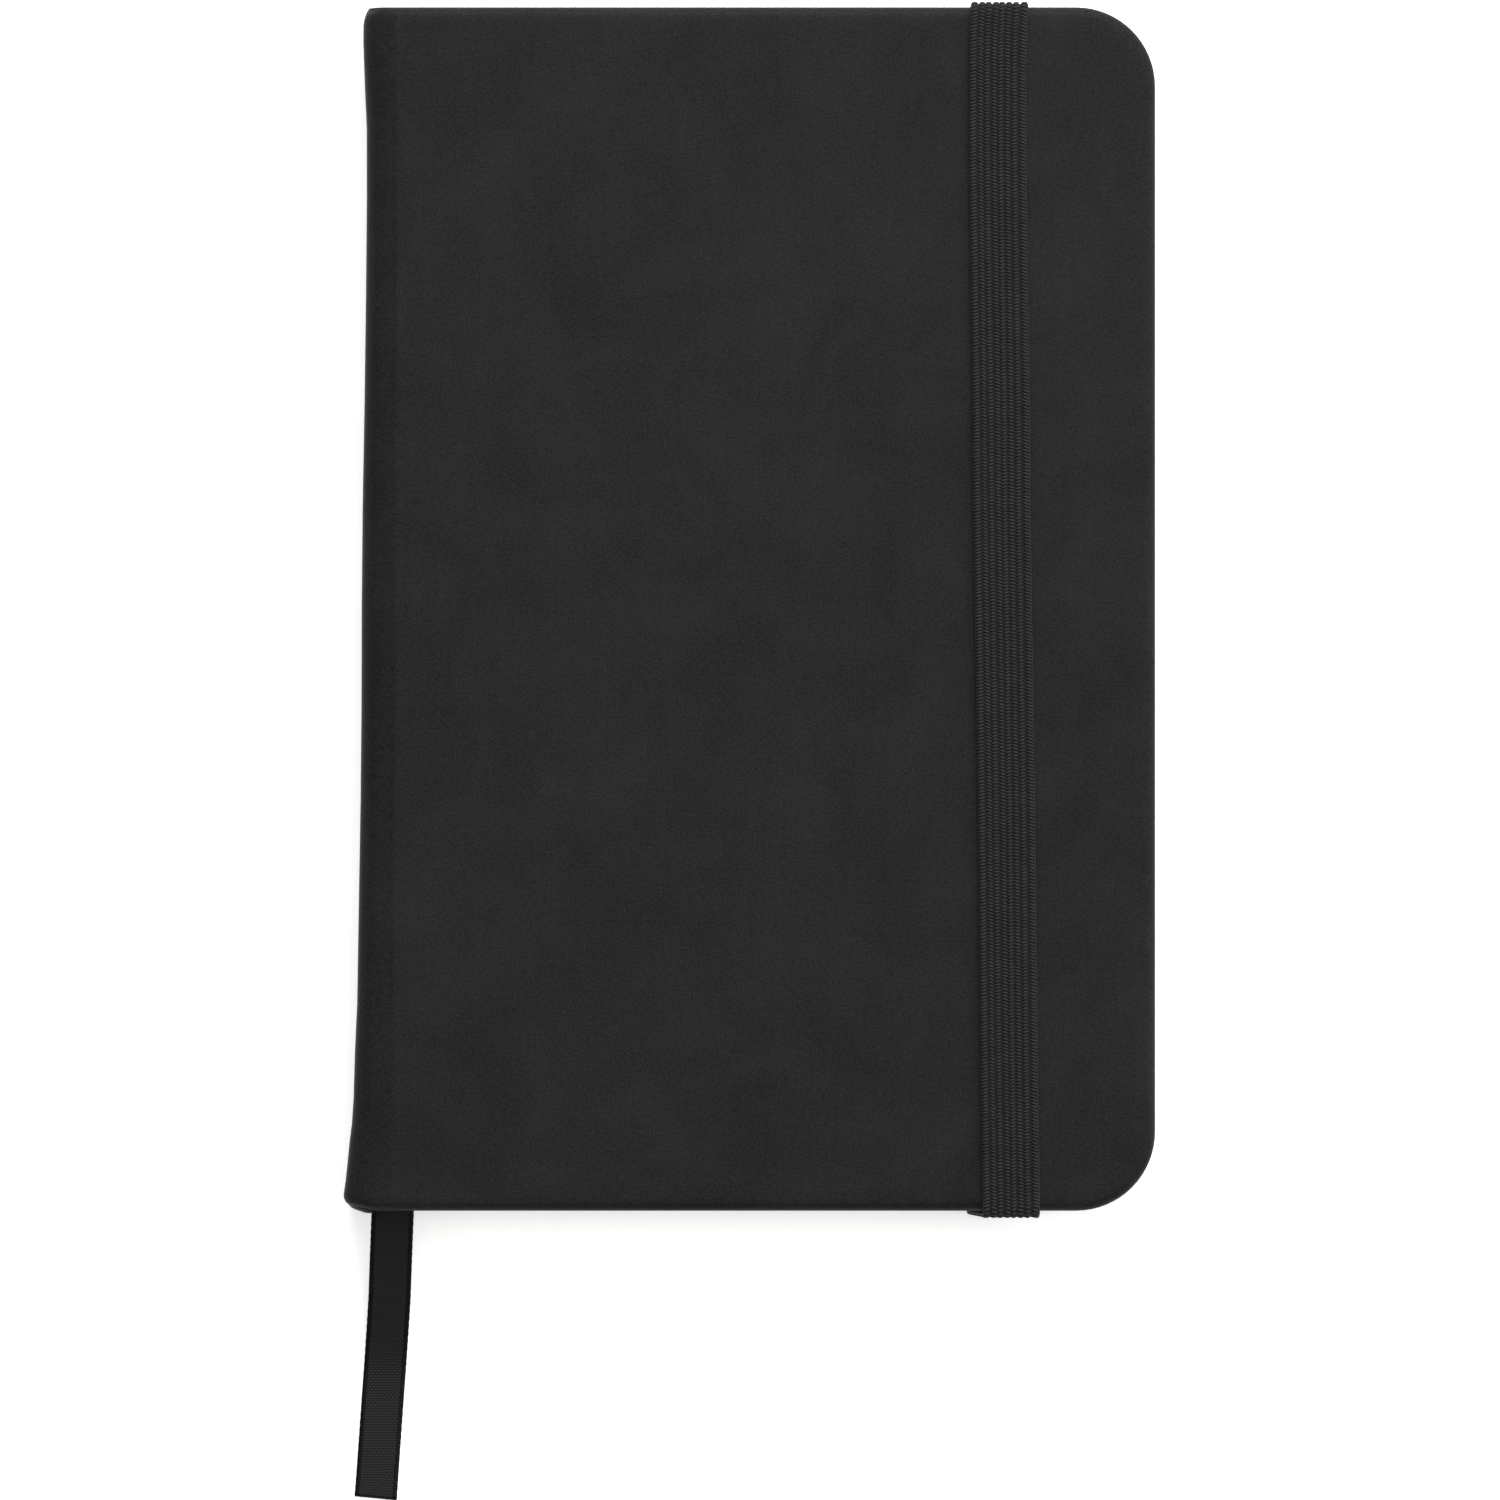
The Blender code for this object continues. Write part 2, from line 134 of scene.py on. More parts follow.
def between(table: Sequence[tuple[float, float]], at: float) -> float:
    """Read a table of (place, value) rows, in falling order of place, with straight steps between rows.

    Args:
        table: the rows.
        at: the place to read.

    Returns:
        The value there; the end values beyond the ends.
    """
    if at >= table[0][0]:
        return table[0][1]
    for (high, one), (low, two) in zip(table, table[1:]):
        if at >= low:
            return two + (one - two) * (at - low) / (high - low)
    return table[-1][1]


def finish_mesh(name: str, work: bmesh.types.BMesh, finish: "Finish", body: Body | None = None,
                shaded_smooth: bool = True, recalculate: bool = True) -> bpy.types.Object:
    """Turn a bmesh into a dressed piece.

    Args:
        name: the piece's name.
        work: its shape, which is freed.
        finish: its finish.
        body: the body it rides on, or None for one that rides on none or is attached later.
        shaded_smooth: whether its faces are shaded smooth.
        recalculate: whether to turn its faces outwards first.

    Returns:
        The piece.
    """
    if recalculate:
        bmesh.ops.recalc_face_normals(work, faces=work.faces)
    mesh = bpy.data.meshes.new(name)
    for face in work.faces:
        face.smooth = shaded_smooth
    work.to_mesh(mesh)
    work.free()
    mesh.materials.append(finish.material())
    piece = bpy.data.objects.new(name, mesh)
    bpy.context.scene.collection.objects.link(piece)
    if body is not None:
        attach(piece, body.value)
    log.info("%s: %d faces", name, len(mesh.polygons))
    return piece


def moved_verts(geometry: Iterable[Any]) -> list[bmesh.types.BMVert]:
    """The vertices in a list of mixed geometry."""
    return [item for item in geometry if isinstance(item, bmesh.types.BMVert)]


def edges_of(geometry: Iterable[Any]) -> list[bmesh.types.BMEdge]:
    """The edges in a list of mixed geometry."""
    return [item for item in geometry if isinstance(item, bmesh.types.BMEdge)]


def thicken(piece: bpy.types.Object, thickness: float, offset: float = -1.0) -> None:
    """Give a sheet its thickness, inwards unless offset says otherwise."""
    shell = piece.modifiers.new("thickness", "SOLIDIFY")
    shell.thickness = thickness
    shell.offset = offset


def whole(work: bmesh.types.BMesh) -> list[Any]:
    """All the vertices, edges and faces of a shape."""
    return [*work.verts, *work.edges, *work.faces]


def cut(work: bmesh.types.BMesh, at: Point, normal: Point, part: list[Any] | None = None,
        **cleared: bool) -> None:
    """Cut a shape along a plane.

    Args:
        work: the shape.
        at: a point on the plane.
        normal: the plane's normal.
        part: what to cut, or None for everything.
        cleared: clear_inner or clear_outer, to take a side away.
    """
    bmesh.ops.bisect_plane(work, geom=whole(work) if part is None else part, dist=CUT, plane_co=at,
                           plane_no=normal, **cleared)


def lies_at(item: Any, axis: int, place: float) -> bool:
    """Whether every vertex of an edge or face lies at a place on an axis (0 for X, 2 for Z)."""
    return all(abs(v.co[axis] - place) < TOUCH for v in item.verts)


def card(x: tuple[float, float], y: tuple[float, float], z: float, thickness: float, radius: float,
         steps: int) -> bmesh.types.BMesh:
    """A flat closed card with its two fore-edge corners rounded.

    Args:
        x: its spine side and fore edge.
        y: its tail and head.
        z: its underside.
        thickness: its thickness.
        radius: the corners' radius.
        steps: the faces round each corner.

    Returns:
        The card.
    """
    work = bmesh.new()
    bmesh.ops.create_grid(work, x_segments=1, y_segments=1, size=0.5)
    bmesh.ops.scale(work, verts=work.verts, vec=(x[1] - x[0], y[1] - y[0], 1))
    bmesh.ops.translate(work, verts=work.verts, vec=((x[1] + x[0]) / 2, (y[1] + y[0]) / 2, z))
    corners = [v for v in work.verts if v.co.x > 0]
    bmesh.ops.bevel(work, geom=corners, offset=radius, segments=steps, profile=0.5, affect="VERTICES",
                    offset_type="OFFSET", material=-1)
    top = bmesh.ops.extrude_face_region(work, geom=list(work.faces))["geom"]
    bmesh.ops.translate(work, verts=moved_verts(top), vec=(0, 0, thickness))
    bmesh.ops.recalc_face_normals(work, faces=work.faces)
    return work


def arc(centre: tuple[float, float], radius: float, start: float, end: float,
        steps: int) -> list[tuple[float, float]]:
    """Points along an arc, with its ends.

    Args:
        centre: the arc's centre.
        radius: its radius.
        start: the angle of its first point, in degrees.
        end: the angle of its last point, in degrees.
        steps: how many steps it takes.

    Returns:
        The points.
    """
    turns = (math.radians(start + (end - start) * i / steps) for i in range(steps + 1))
    return [(centre[0] + radius * math.cos(a), centre[1] + radius * math.sin(a)) for a in turns]


def loft(work: bmesh.types.BMesh, rings: Sequence[Sequence[Vector]]) -> None:
    """Add a closed skin over rings of points, with a cap at each end.

    Args:
        work: the shape to add it to.
        rings: the rings, all of one length.
    """
    previous: list[bmesh.types.BMVert] = []
    for points in rings:
        ring = [work.verts.new(point) for point in points]
        if previous:
            edges = [work.edges.get(pair) or work.edges.new(pair)
                     for loop in (previous, ring) for pair in zip(loop, loop[1:] + loop[:1])]
            bmesh.ops.bridge_loops(work, edges=edges)
        else:
            work.faces.new(ring)
        previous = ring
    work.faces.new(list(reversed(previous)))


# ---------------------------------------------------------------- finishes


def add_node(tree: bpy.types.NodeTree, kind: str, settings: dict[Any, Any] | None = None,
             links: dict[Any, Any] | None = None,
             stops: Sequence[tuple[float, str]] = ()) -> bpy.types.Node:
    """Add a node with its settings and links.

    Args:
        tree: the material's node tree.
        kind: the node's type name.
        settings: property or input name (or input number) to value.
        links: input name or number to the output socket that feeds it.
        stops: for a colour ramp, its two (place, sRGB colour) pairs.

    Returns:
        The node.
    """
    made = tree.nodes.new(kind)
    for key, value in (settings or {}).items():
        if isinstance(key, str) and hasattr(made, key):
            setattr(made, key, value)
    for key, value in (settings or {}).items():
        if isinstance(key, int) or not hasattr(made, key):
            made.inputs[key].default_value = value
    for key, source in (links or {}).items():
        tree.links.new(source, made.inputs[key])
    for number, (place, colour) in enumerate(stops):
        made.color_ramp.elements[number].position = place
        made.color_ramp.elements[number].color = linear(colour)
    return made


@dataclass(frozen=True)
class Finish:
    """A finish: its name and the constants of its shader."""

    name: str
    roughness: float = 0.6
    specular: float = 0.5
    sheen: float = 0.0
    sheen_roughness: float = 0.5
    glow: float = 0.0

    def material(self) -> bpy.types.Material:
        """The finish's material, made the first time it is asked for."""
        if self.name in bpy.data.materials:
            return bpy.data.materials[self.name]
        made = bpy.data.materials.new(self.name)
        made.use_nodes = True
        tree = made.node_tree
        shader = tree.nodes["Principled BSDF"]
        shader.inputs["Roughness"].default_value = self.roughness
        shader.inputs["Specular IOR Level"].default_value = self.specular
        shader.inputs["Sheen Weight"].default_value = self.sheen
        shader.inputs["Sheen Roughness"].default_value = self.sheen_roughness
        shader.inputs["Emission Color"].default_value = linear("#ffffff")
        shader.inputs["Emission Strength"].default_value = self.glow
        self.weave(tree, shader)
        return made

    def weave(self, tree: bpy.types.NodeTree, shader: bpy.types.Node) -> None:
        """Add the finish's own pattern to its shader."""

    @staticmethod
    def lay_on(tree: bpy.types.NodeTree, shader: bpy.types.Node, colour: Any, height: Any,
               strength: float, height_mm: float) -> None:
        """Lay a colour and a relief on the shader.

        Args:
            tree: the node tree.
            shader: the Principled node.
            colour: the colour's socket.
            height: the relief's socket.
            strength: how strongly the relief tells.
            height_mm: the relief's full height.
        """
        tree.links.new(colour, shader.inputs["Base Color"])
        bump = add_node(tree, "ShaderNodeBump", {"Strength": strength, "Distance": height_mm * MM},
                        {"Height": height})
        tree.links.new(bump.outputs["Normal"], shader.inputs["Normal"])


@dataclass(frozen=True)
class CoatedCloth(Finish):
    """Polyurethane-coated bookbinding cloth, roller-embossed with a fine hide grain.

    The grain gives a soft, dry black: pinpoint speckle close to, and slow cloudy patches across the cover
    where the coating took the roller differently. A few specks of dust lie on it.
    """

    name: str = "polyurethane_cloth_embossed"
    roughness: float = 0.6
    specular: float = 0.12
    dark: str = "#060606"
    light: str = "#252525"
    speckle_mm: float = 0.26
    speckle_weight: float = 1.7
    cloud_mm: float = 11.0
    cloud_weight: float = 0.6
    brush_mm: float = 0.9
    brush_stretch: Point = (1.0, 0.07, 1.0)
    brush_weight: float = 0.12
    dust: str = "#8c8c8a"
    dust_spacing_mm: float = 16.13
    dust_radius_mm: float = 0.0968
    dust_left_out: float = 0.72
    grain_mm: float = 0.30
    grain_strength: float = 0.55
    grain_height_mm: float = 0.010

    def weave(self, tree: bpy.types.NodeTree, shader: bpy.types.Node) -> None:
        """Add grain, speckle, clouds and dust."""
        place = add_node(tree, "ShaderNodeTexCoord").outputs["Object"]
        speckle = add_node(tree, "ShaderNodeTexNoise", {"Scale": 1 / (self.speckle_mm * MM), "Detail": 3.0,
                           "Roughness": 0.62}, {"Vector": place})
        clouds = add_node(tree, "ShaderNodeTexNoise", {"Scale": 1 / (self.cloud_mm * MM), "Detail": 5.0,
                          "Roughness": 0.55, "Distortion": 0.6}, {"Vector": place})
        long_way = add_node(tree, "ShaderNodeMapping", {"Scale": self.brush_stretch}, {"Vector": place})
        brushed = add_node(tree, "ShaderNodeTexNoise", {"Scale": 1 / (self.brush_mm * MM), "Detail": 2.0},
                           {"Vector": long_way.outputs["Vector"]})
        weighted = ((speckle, self.speckle_weight), (clouds, self.cloud_weight), (brushed, self.brush_weight))
        centred = 0.5 - 0.5 * sum(weight for _, weight in weighted)
        shade: Any = None
        for source, weight in weighted:
            links = {0: source.outputs["Fac"]} | ({2: shade.outputs[0]} if shade else {})
            shade = add_node(tree, "ShaderNodeMath", {"operation": "MULTIPLY_ADD", 1: weight, 2: centred},
                             links)
        shade.use_clamp = True
        tone = add_node(tree, "ShaderNodeValToRGB", links={"Fac": shade.outputs[0]},
                        stops=[(0.0, self.dark), (1.0, self.light)])
        specks = add_node(tree, "ShaderNodeTexVoronoi", {"Scale": 1 / (self.dust_spacing_mm * MM)},
                          {"Vector": place})
        near = add_node(tree, "ShaderNodeMath", {"operation": "LESS_THAN",
                        1: self.dust_radius_mm / self.dust_spacing_mm}, {0: specks.outputs["Distance"]})
        chosen = add_node(tree, "ShaderNodeSeparateColor", links={"Color": specks.outputs["Color"]})
        few = add_node(tree, "ShaderNodeMath", {"operation": "GREATER_THAN", 1: self.dust_left_out},
                       {0: chosen.outputs["Red"]})
        dusty = add_node(tree, "ShaderNodeMath", {"operation": "MULTIPLY"},
                         {0: near.outputs[0], 1: few.outputs[0]})
        mixed = add_node(tree, "ShaderNodeMix", {"data_type": "RGBA", 7: linear(self.dust)},
                         {0: dusty.outputs[0], 6: tone.outputs["Color"]})
        cells = add_node(tree, "ShaderNodeTexVoronoi", {"feature": "SMOOTH_F1", "Smoothness": 0.6,
                         "Scale": 1 / (self.grain_mm * MM)}, {"Vector": place})
        height = add_node(tree, "ShaderNodeMath", {"operation": "ADD"},
                          {0: cells.outputs["Distance"], 1: speckle.outputs["Fac"]})
        self.lay_on(tree, shader, mixed.outputs[2], height.outputs[0], self.grain_strength,
                    self.grain_height_mm)


@dataclass(frozen=True)
class Yarn(Finish):
    """Textured polyester yarn, knitted: dull black with a faint fibre sheen and slow changes of shade.

    Its filaments are drawn several times coarser than real ones, so that they show.
    """

    name: str = "polyester_yarn_textured"
    roughness: float = 0.72
    specular: float = 0.2
    sheen: float = 0.05
    dark: str = "#1c1c1c"
    light: str = "#323232"
    fibre_mm: float = 0.09
    fibre_weight: float = 0.6
    fibre_strength: float = 0.5
    fibre_height_mm: float = 0.02
    slow_mm: float = 1.3

    def weave(self, tree: bpy.types.NodeTree, shader: bpy.types.Node) -> None:
        """Add fine fibres and slow changes of shade along the yarn."""
        place = add_node(tree, "ShaderNodeTexCoord").outputs["Object"]
        fibre = add_node(tree, "ShaderNodeTexNoise", {"Scale": 1 / (self.fibre_mm * MM), "Detail": 2.0},
                         {"Vector": place})
        slow = add_node(tree, "ShaderNodeTexNoise", {"Scale": 1 / (self.slow_mm * MM), "Detail": 2.0},
                        {"Vector": place})
        fine = add_node(tree, "ShaderNodeMath", {"operation": "MULTIPLY", 1: self.fibre_weight},
                        {0: fibre.outputs["Fac"]})
        shade = add_node(tree, "ShaderNodeMath", {"operation": "MULTIPLY_ADD", 1: 1 - self.fibre_weight},
                         {0: slow.outputs["Fac"], 2: fine.outputs[0]})
        tone = add_node(tree, "ShaderNodeValToRGB", links={"Fac": shade.outputs[0]},
                        stops=[(0.25, self.dark), (0.75, self.light)])
        self.lay_on(tree, shader, tone.outputs["Color"], fibre.outputs["Fac"], self.fibre_strength,
                    self.fibre_height_mm)


@dataclass(frozen=True)
class PlainFinish(Finish):
    """A plain finish with fine noise in its colour and surface, such as board, mull or thread."""

    dark: str = "#888888"
    light: str = "#999999"
    grain_mm: float = 0.4
    grain_strength: float = 0.4
    grain_height_mm: float = 0.02
    detail: float = 4.0

    def weave(self, tree: bpy.types.NodeTree, shader: bpy.types.Node) -> None:
        """Add one noise to the colour and the surface."""
        place = add_node(tree, "ShaderNodeTexCoord").outputs["Object"]
        grain = add_node(tree, "ShaderNodeTexNoise", {"Scale": 1 / (self.grain_mm * MM),
                         "Detail": self.detail}, {"Vector": place})
        tone = add_node(tree, "ShaderNodeValToRGB", links={"Fac": grain.outputs["Fac"]},
                        stops=[(0.3, self.dark), (0.7, self.light)])
        colour = self.print_on(tree, place, tone.outputs["Color"])
        self.lay_on(tree, shader, colour, grain.outputs["Fac"], self.grain_strength, self.grain_height_mm)

    def print_on(self, tree: bpy.types.NodeTree, place: Any, colour: Any) -> Any:
        """Print nothing: the colour as it is."""
        return colour


@dataclass(frozen=True)
class RuledPaper(PlainFinish):
    """Uncoated ivory writing paper with printed feint rules across it.

    It has no shine, a warm tone and a slightly mottled fibre, drawn coarser than real fibre so that it
    shows. The rules are grey and thin, and stop short of the head of the page.
    """

    name: str = "uncoated_ivory_paper_ruled"
    roughness: float = 0.88
    specular: float = 0.25
    dark: str = "#d9d1c0"
    light: str = "#e3dccd"
    grain_mm: float = 0.5
    grain_strength: float = 0.3
    grain_height_mm: float = 0.01
    detail: float = 5.0
    rule: str = "#a9a597"
    rule_pitch_mm: float = 6.0
    rule_width_mm: float = 0.22
    rules_to_mm: float = 56.0
    level: float = 0.7

    def print_on(self, tree: bpy.types.NodeTree, place: Any, colour: Any) -> Any:
        """Print the feint rules on the faces of the leaves but not on their edges.

        Args:
            tree: the node tree.
            place: the object coordinates' socket.
            colour: the paper's colour socket.

        Returns:
            The socket of the ruled colour.
        """
        parts = add_node(tree, "ShaderNodeSeparateXYZ", links={"Vector": place})
        along = add_node(tree, "ShaderNodeMath", {"operation": "PINGPONG", 1: self.rule_pitch_mm * MM / 2},
                         {0: parts.outputs["Y"]})
        line = add_node(tree, "ShaderNodeMath", {"operation": "LESS_THAN", 1: self.rule_width_mm * MM / 2},
                        {0: along.outputs[0]})
        shape = add_node(tree, "ShaderNodeNewGeometry")
        facing = add_node(tree, "ShaderNodeSeparateXYZ", links={"Vector": shape.outputs["True Normal"]})
        flat = add_node(tree, "ShaderNodeMath", {"operation": "ABSOLUTE"}, {0: facing.outputs["Z"]})
        face = add_node(tree, "ShaderNodeMath", {"operation": "GREATER_THAN", 1: self.level},
                        {0: flat.outputs[0]})
        inside = add_node(tree, "ShaderNodeMath", {"operation": "LESS_THAN", 1: self.rules_to_mm * MM},
                          {0: parts.outputs["Y"]})
        shown = line
        for other in (face, inside):
            shown = add_node(tree, "ShaderNodeMath", {"operation": "MULTIPLY"},
                             {0: shown.outputs[0], 1: other.outputs[0]})
        mixed = add_node(tree, "ShaderNodeMix", {"data_type": "RGBA", 7: linear(self.rule)},
                         {0: shown.outputs[0], 6: colour})
        return mixed.outputs[2]


@dataclass(frozen=True)
class SatinRibbon(Finish):
    """Narrow woven rayon ribbon: a dry satin face of short floats in staggered rows, with darker edges."""

    name: str = "rayon_ribbon_woven"
    roughness: float = 0.5
    specular: float = 0.14
    sheen: float = 0.02
    dark: str = "#020202"
    light: str = "#292929"
    edge_mm: float = 1.95
    float_mm: float = 0.46
    row_mm: float = 0.31
    float_relief: float = 0.28
    row_relief: float = 0.22
    weave_strength: float = 0.8
    weave_height_mm: float = 0.05

    def weave(self, tree: bpy.types.NodeTree, shader: bpy.types.Node) -> None:
        """Add staggered rows of floats, laid out on the strip's own UV map in metres."""
        coords = add_node(tree, "ShaderNodeTexCoord")
        parts = add_node(tree, "ShaderNodeSeparateXYZ", links={"Vector": coords.outputs["UV"]})
        waves = []
        for way, length_mm in (("X", self.float_mm), ("Y", 2 * self.row_mm), ("Y", self.row_mm)):
            angle = add_node(tree, "ShaderNodeMath", {"operation": "MULTIPLY",
                             1: 2 * math.pi / (length_mm * MM)}, {0: parts.outputs[way]})
            waves.append(add_node(tree, "ShaderNodeMath", {"operation": "COSINE"}, {0: angle.outputs[0]}))
        floats, stagger, rows = waves
        weave = add_node(tree, "ShaderNodeMath", {"operation": "MULTIPLY"},
                         {0: floats.outputs[0], 1: stagger.outputs[0]})
        ridged = add_node(tree, "ShaderNodeMath", {"operation": "MULTIPLY_ADD", 1: self.row_relief, 2: 0.5},
                          {0: rows.outputs[0]})
        height = add_node(tree, "ShaderNodeMath", {"operation": "MULTIPLY_ADD", 1: self.float_relief},
                          {0: weave.outputs[0], 2: ridged.outputs[0]})
        tone = add_node(tree, "ShaderNodeValToRGB", links={"Fac": height.outputs[0]},
                        stops=[(0.0, self.dark), (1.0, self.light)])
        out = add_node(tree, "ShaderNodeMath", {"operation": "ABSOLUTE"}, {0: parts.outputs["X"]})
        edge = add_node(tree, "ShaderNodeMath", {"operation": "GREATER_THAN", 1: self.edge_mm * MM},
                        {0: out.outputs[0]})
        mixed = add_node(tree, "ShaderNodeMix", {"data_type": "RGBA", 7: linear(self.dark)},
                         {0: edge.outputs[0], 6: tone.outputs["Color"]})
        self.lay_on(tree, shader, mixed.outputs[2], height.outputs[0], self.weave_strength,
                    self.weave_height_mm)


CLOTH = CoatedCloth()
YARN = Yarn()
# The rubber cores of the elastic under their yarn: a darker, flatter black that sinks between the stitches;
# its darker tone is painted shade for the gaps between them.
SHADED_GROUND_YARN = Yarn(name="rubber_core_ground_painted_shade", roughness=0.85, dark="#101010", light="#1e1e1e", sheen=0.0)
PAGE = RuledPaper()
# Uncoated endpaper, heavier than the pages: a shade darker ivory with the same soft mottle.
ENDPAPER = PlainFinish("ivory_endpaper_uncoated", 0.88, 0.25, dark="#d6cdbb", light="#e0d8c8", grain_mm=0.5,
                       grain_strength=0.3, grain_height_mm=0.01, detail=5.0)
RIBBON = SatinRibbon()
# Pressed grey pulp board: dull and slightly fibrous.
BOARD = PlainFinish("grey_pulp_board", 0.92, 0.2, dark="#837b70", light="#958d81", grain_mm=0.6)
# Loose-woven cotton mull, sized with glue: off-white, hardly any shine.
MULL = PlainFinish("cotton_mull_sized", 0.9, 0.2, dark="#d5d1c6", light="#e6e3da", grain_mm=0.35)
# Waxed linen sewing thread: a faint wax gleam.
THREAD = PlainFinish("waxed_linen_thread", 0.55, 0.4, dark="#dcd8cb", light="#efece2", grain_mm=0.1)
# Matt white paper sweep under the notebook: even and lit from within, so that only soft shadows tell on it.
SWEEP = PlainFinish("white_paper_sweep", 0.9, 0.2, dark="#f6f6f6", light="#f9f9f9", grain_mm=3.0,
                    grain_height_mm=0.001, glow=0.5)


# ---------------------------------------------------------------- the frame's own sizes


@dataclass
class NotebookSizes:
    """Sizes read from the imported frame."""

    top: float
    fore: float
    half: float
    spine: float
    cut: float
    cover: float
    band_low: float
    band_high: float
    page_low_x: float
    page_half: float

    @classmethod
    def read(cls) -> "NotebookSizes":
        """Read the sizes from the CAD nodes' boxes."""
        front_low, front_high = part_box("front_cover_skin")
        _, back_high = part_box("back_cover_skin")
        spine_low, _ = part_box("spine_skin_upper")
        band_low, band_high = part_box("elastic_band")
        page_low, page_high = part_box("page_section_01")
        return cls(top=front_high.z, fore=front_high.x, half=front_high.y, spine=spine_low.x,
                   cut=front_low.x, cover=back_high.z, band_low=band_low.z, band_high=band_high.z,
                   page_low_x=page_low.x, page_half=page_high.y)

    @property
    def middle(self) -> float:
        """The height of the middle of the notebook."""
        return self.top / 2


# ---------------------------------------------------------------- the case


@dataclass
class ClothCase:
    """The one sheet of coated cloth round both boards and the spine, in three pieces."""

    sizes: NotebookSizes
    corner_radius: float = 9.2 * MM
    shoulder_radius: float = 4.0 * MM
    cloth: float = 0.4 * MM
    # The outer face slopes down over the ring by its drop, so that its edge catches the light.
    ring: float = 1.5 * MM
    ring_drop: float = 0.17 * MM
    outer_round: float = 1.05 * MM
    inner_round: float = 0.65 * MM
    turn_in: float = 9.0 * MM
    # The spine: how far its folded cloth is drawn together, and how square and low its shoulder stands.
    spine_fold: float = 0.80
    squareness: float = 4.2
    spine_drop: float = 0.95 * MM
    corner_steps: int = 16
    shoulder_steps: int = 24
    rise_steps: int = 12
    outer_steps: int = 7
    inner_steps: int = 4
    steep: float = 0.3
    full_fold_turn: float = math.pi / 3
    column: float = 0.4 * MM
    columns_to: float = -38.4 * MM
    rows_within: float = 69.9
    line_fade: float = 1.4
    middle_low: float = 5.5 * MM
    # The pressed channels for the elastic's ends, head then tail.
    band_x: tuple[float, float] = (27.9 * MM, 28.2 * MM)
    band_half: float = 3.55 * MM
    channel_depth: float = 0.60 * MM
    channel_slope: float = 0.35 * MM
    slot_y: float = 59.9 * MM
    # How far the spine's edge moves in from its plain line, at places from head to tail, in millimetres.
    spine_line: tuple[tuple[float, float], ...] = (
        (70.0, 1.0), (69.85, 0.92), (69.7, 0.80), (69.4, 0.55), (69.0, 0.38), (68.0, 0.22), (66.0, 0.22),
        (62.0, 0.36), (59.0, 0.48), (56.0, 0.62), (48.0, 0.63), (36.0, 0.52), (24.0, 0.36), (12.0, 0.14),
        (0.0, 0.03), (-12.0, 0.0), (-22.0, -0.10), (-34.0, -0.30), (-46.0, -0.50), (-51.5, -0.76),
        (-57.0, -0.92), (-60.0, -1.12), (-62.0, -1.38), (-64.5, -1.62), (-66.5, -1.84), (-68.2, -2.08),
        (-68.7, -2.03), (-69.1, -1.85), (-69.4, -1.5), (-69.6, -1.05), (-69.75, -0.5), (-69.88, -0.1),
        (-70.0, 0.5))

    def slab(self) -> bmesh.types.BMesh:
        """The back cover's outside, as a closed slab with round fore-edge corners."""
        size = self.sizes
        return card((size.cut, size.fore), (-size.half, size.half), 0.0, size.cover, self.corner_radius,
                    self.corner_steps)

    def open_board_pocket(self, work: bmesh.types.BMesh) -> None:
        """Take away the hinge side and the middle of the inner face, which leaves the turn-ins."""
        size = self.sizes
        side = [f for f in work.faces if lies_at(f, 0, size.cut)]
        bmesh.ops.delete(work, geom=side, context="FACES_ONLY")
        inner = [f for f in work.faces if lies_at(f, 2, size.cover)]
        bmesh.ops.inset_region(work, faces=inner, thickness=self.turn_in, use_even_offset=True,
                               use_boundary=False)
        bmesh.ops.delete(work, geom=[f for f in inner if f.is_valid], context="FACES")

    def soften_edges(self, work: bmesh.types.BMesh) -> None:
        """Drop the outer face a little towards its edge, and round the outer and inner edges."""
        outer = [f for f in work.faces if lies_at(f, 2, 0.0)]
        for _ in range(2):
            outer = [f for f in outer if f.is_valid]
            bmesh.ops.inset_region(work, faces=outer, thickness=self.ring, use_even_offset=True,
                                   use_boundary=False)
        rim = {v for e in work.edges if self.is_rim(e, 0.0) for v in e.verts}
        bmesh.ops.translate(work, verts=list(rim), vec=(0, 0, self.ring_drop))
        for height, offset, steps in ((self.ring_drop, self.outer_round, self.outer_steps),
                                      (self.sizes.cover, self.inner_round, self.inner_steps)):
            edges = [e for e in work.edges if self.is_rim(e, height)]
            bmesh.ops.bevel(work, geom=edges, offset=offset, segments=steps, profile=0.5, affect="EDGES",
                            offset_type="OFFSET", material=-1)

    def is_rim(self, edge: bmesh.types.BMEdge, height: float) -> bool:
        """Whether an edge is where the side wall meets the face at this height."""
        if len(edge.link_faces) != 2 or not lies_at(edge, 2, height):
            return False
        one, two = (abs(f.normal.z) < self.steep for f in edge.link_faces)
        return one != two

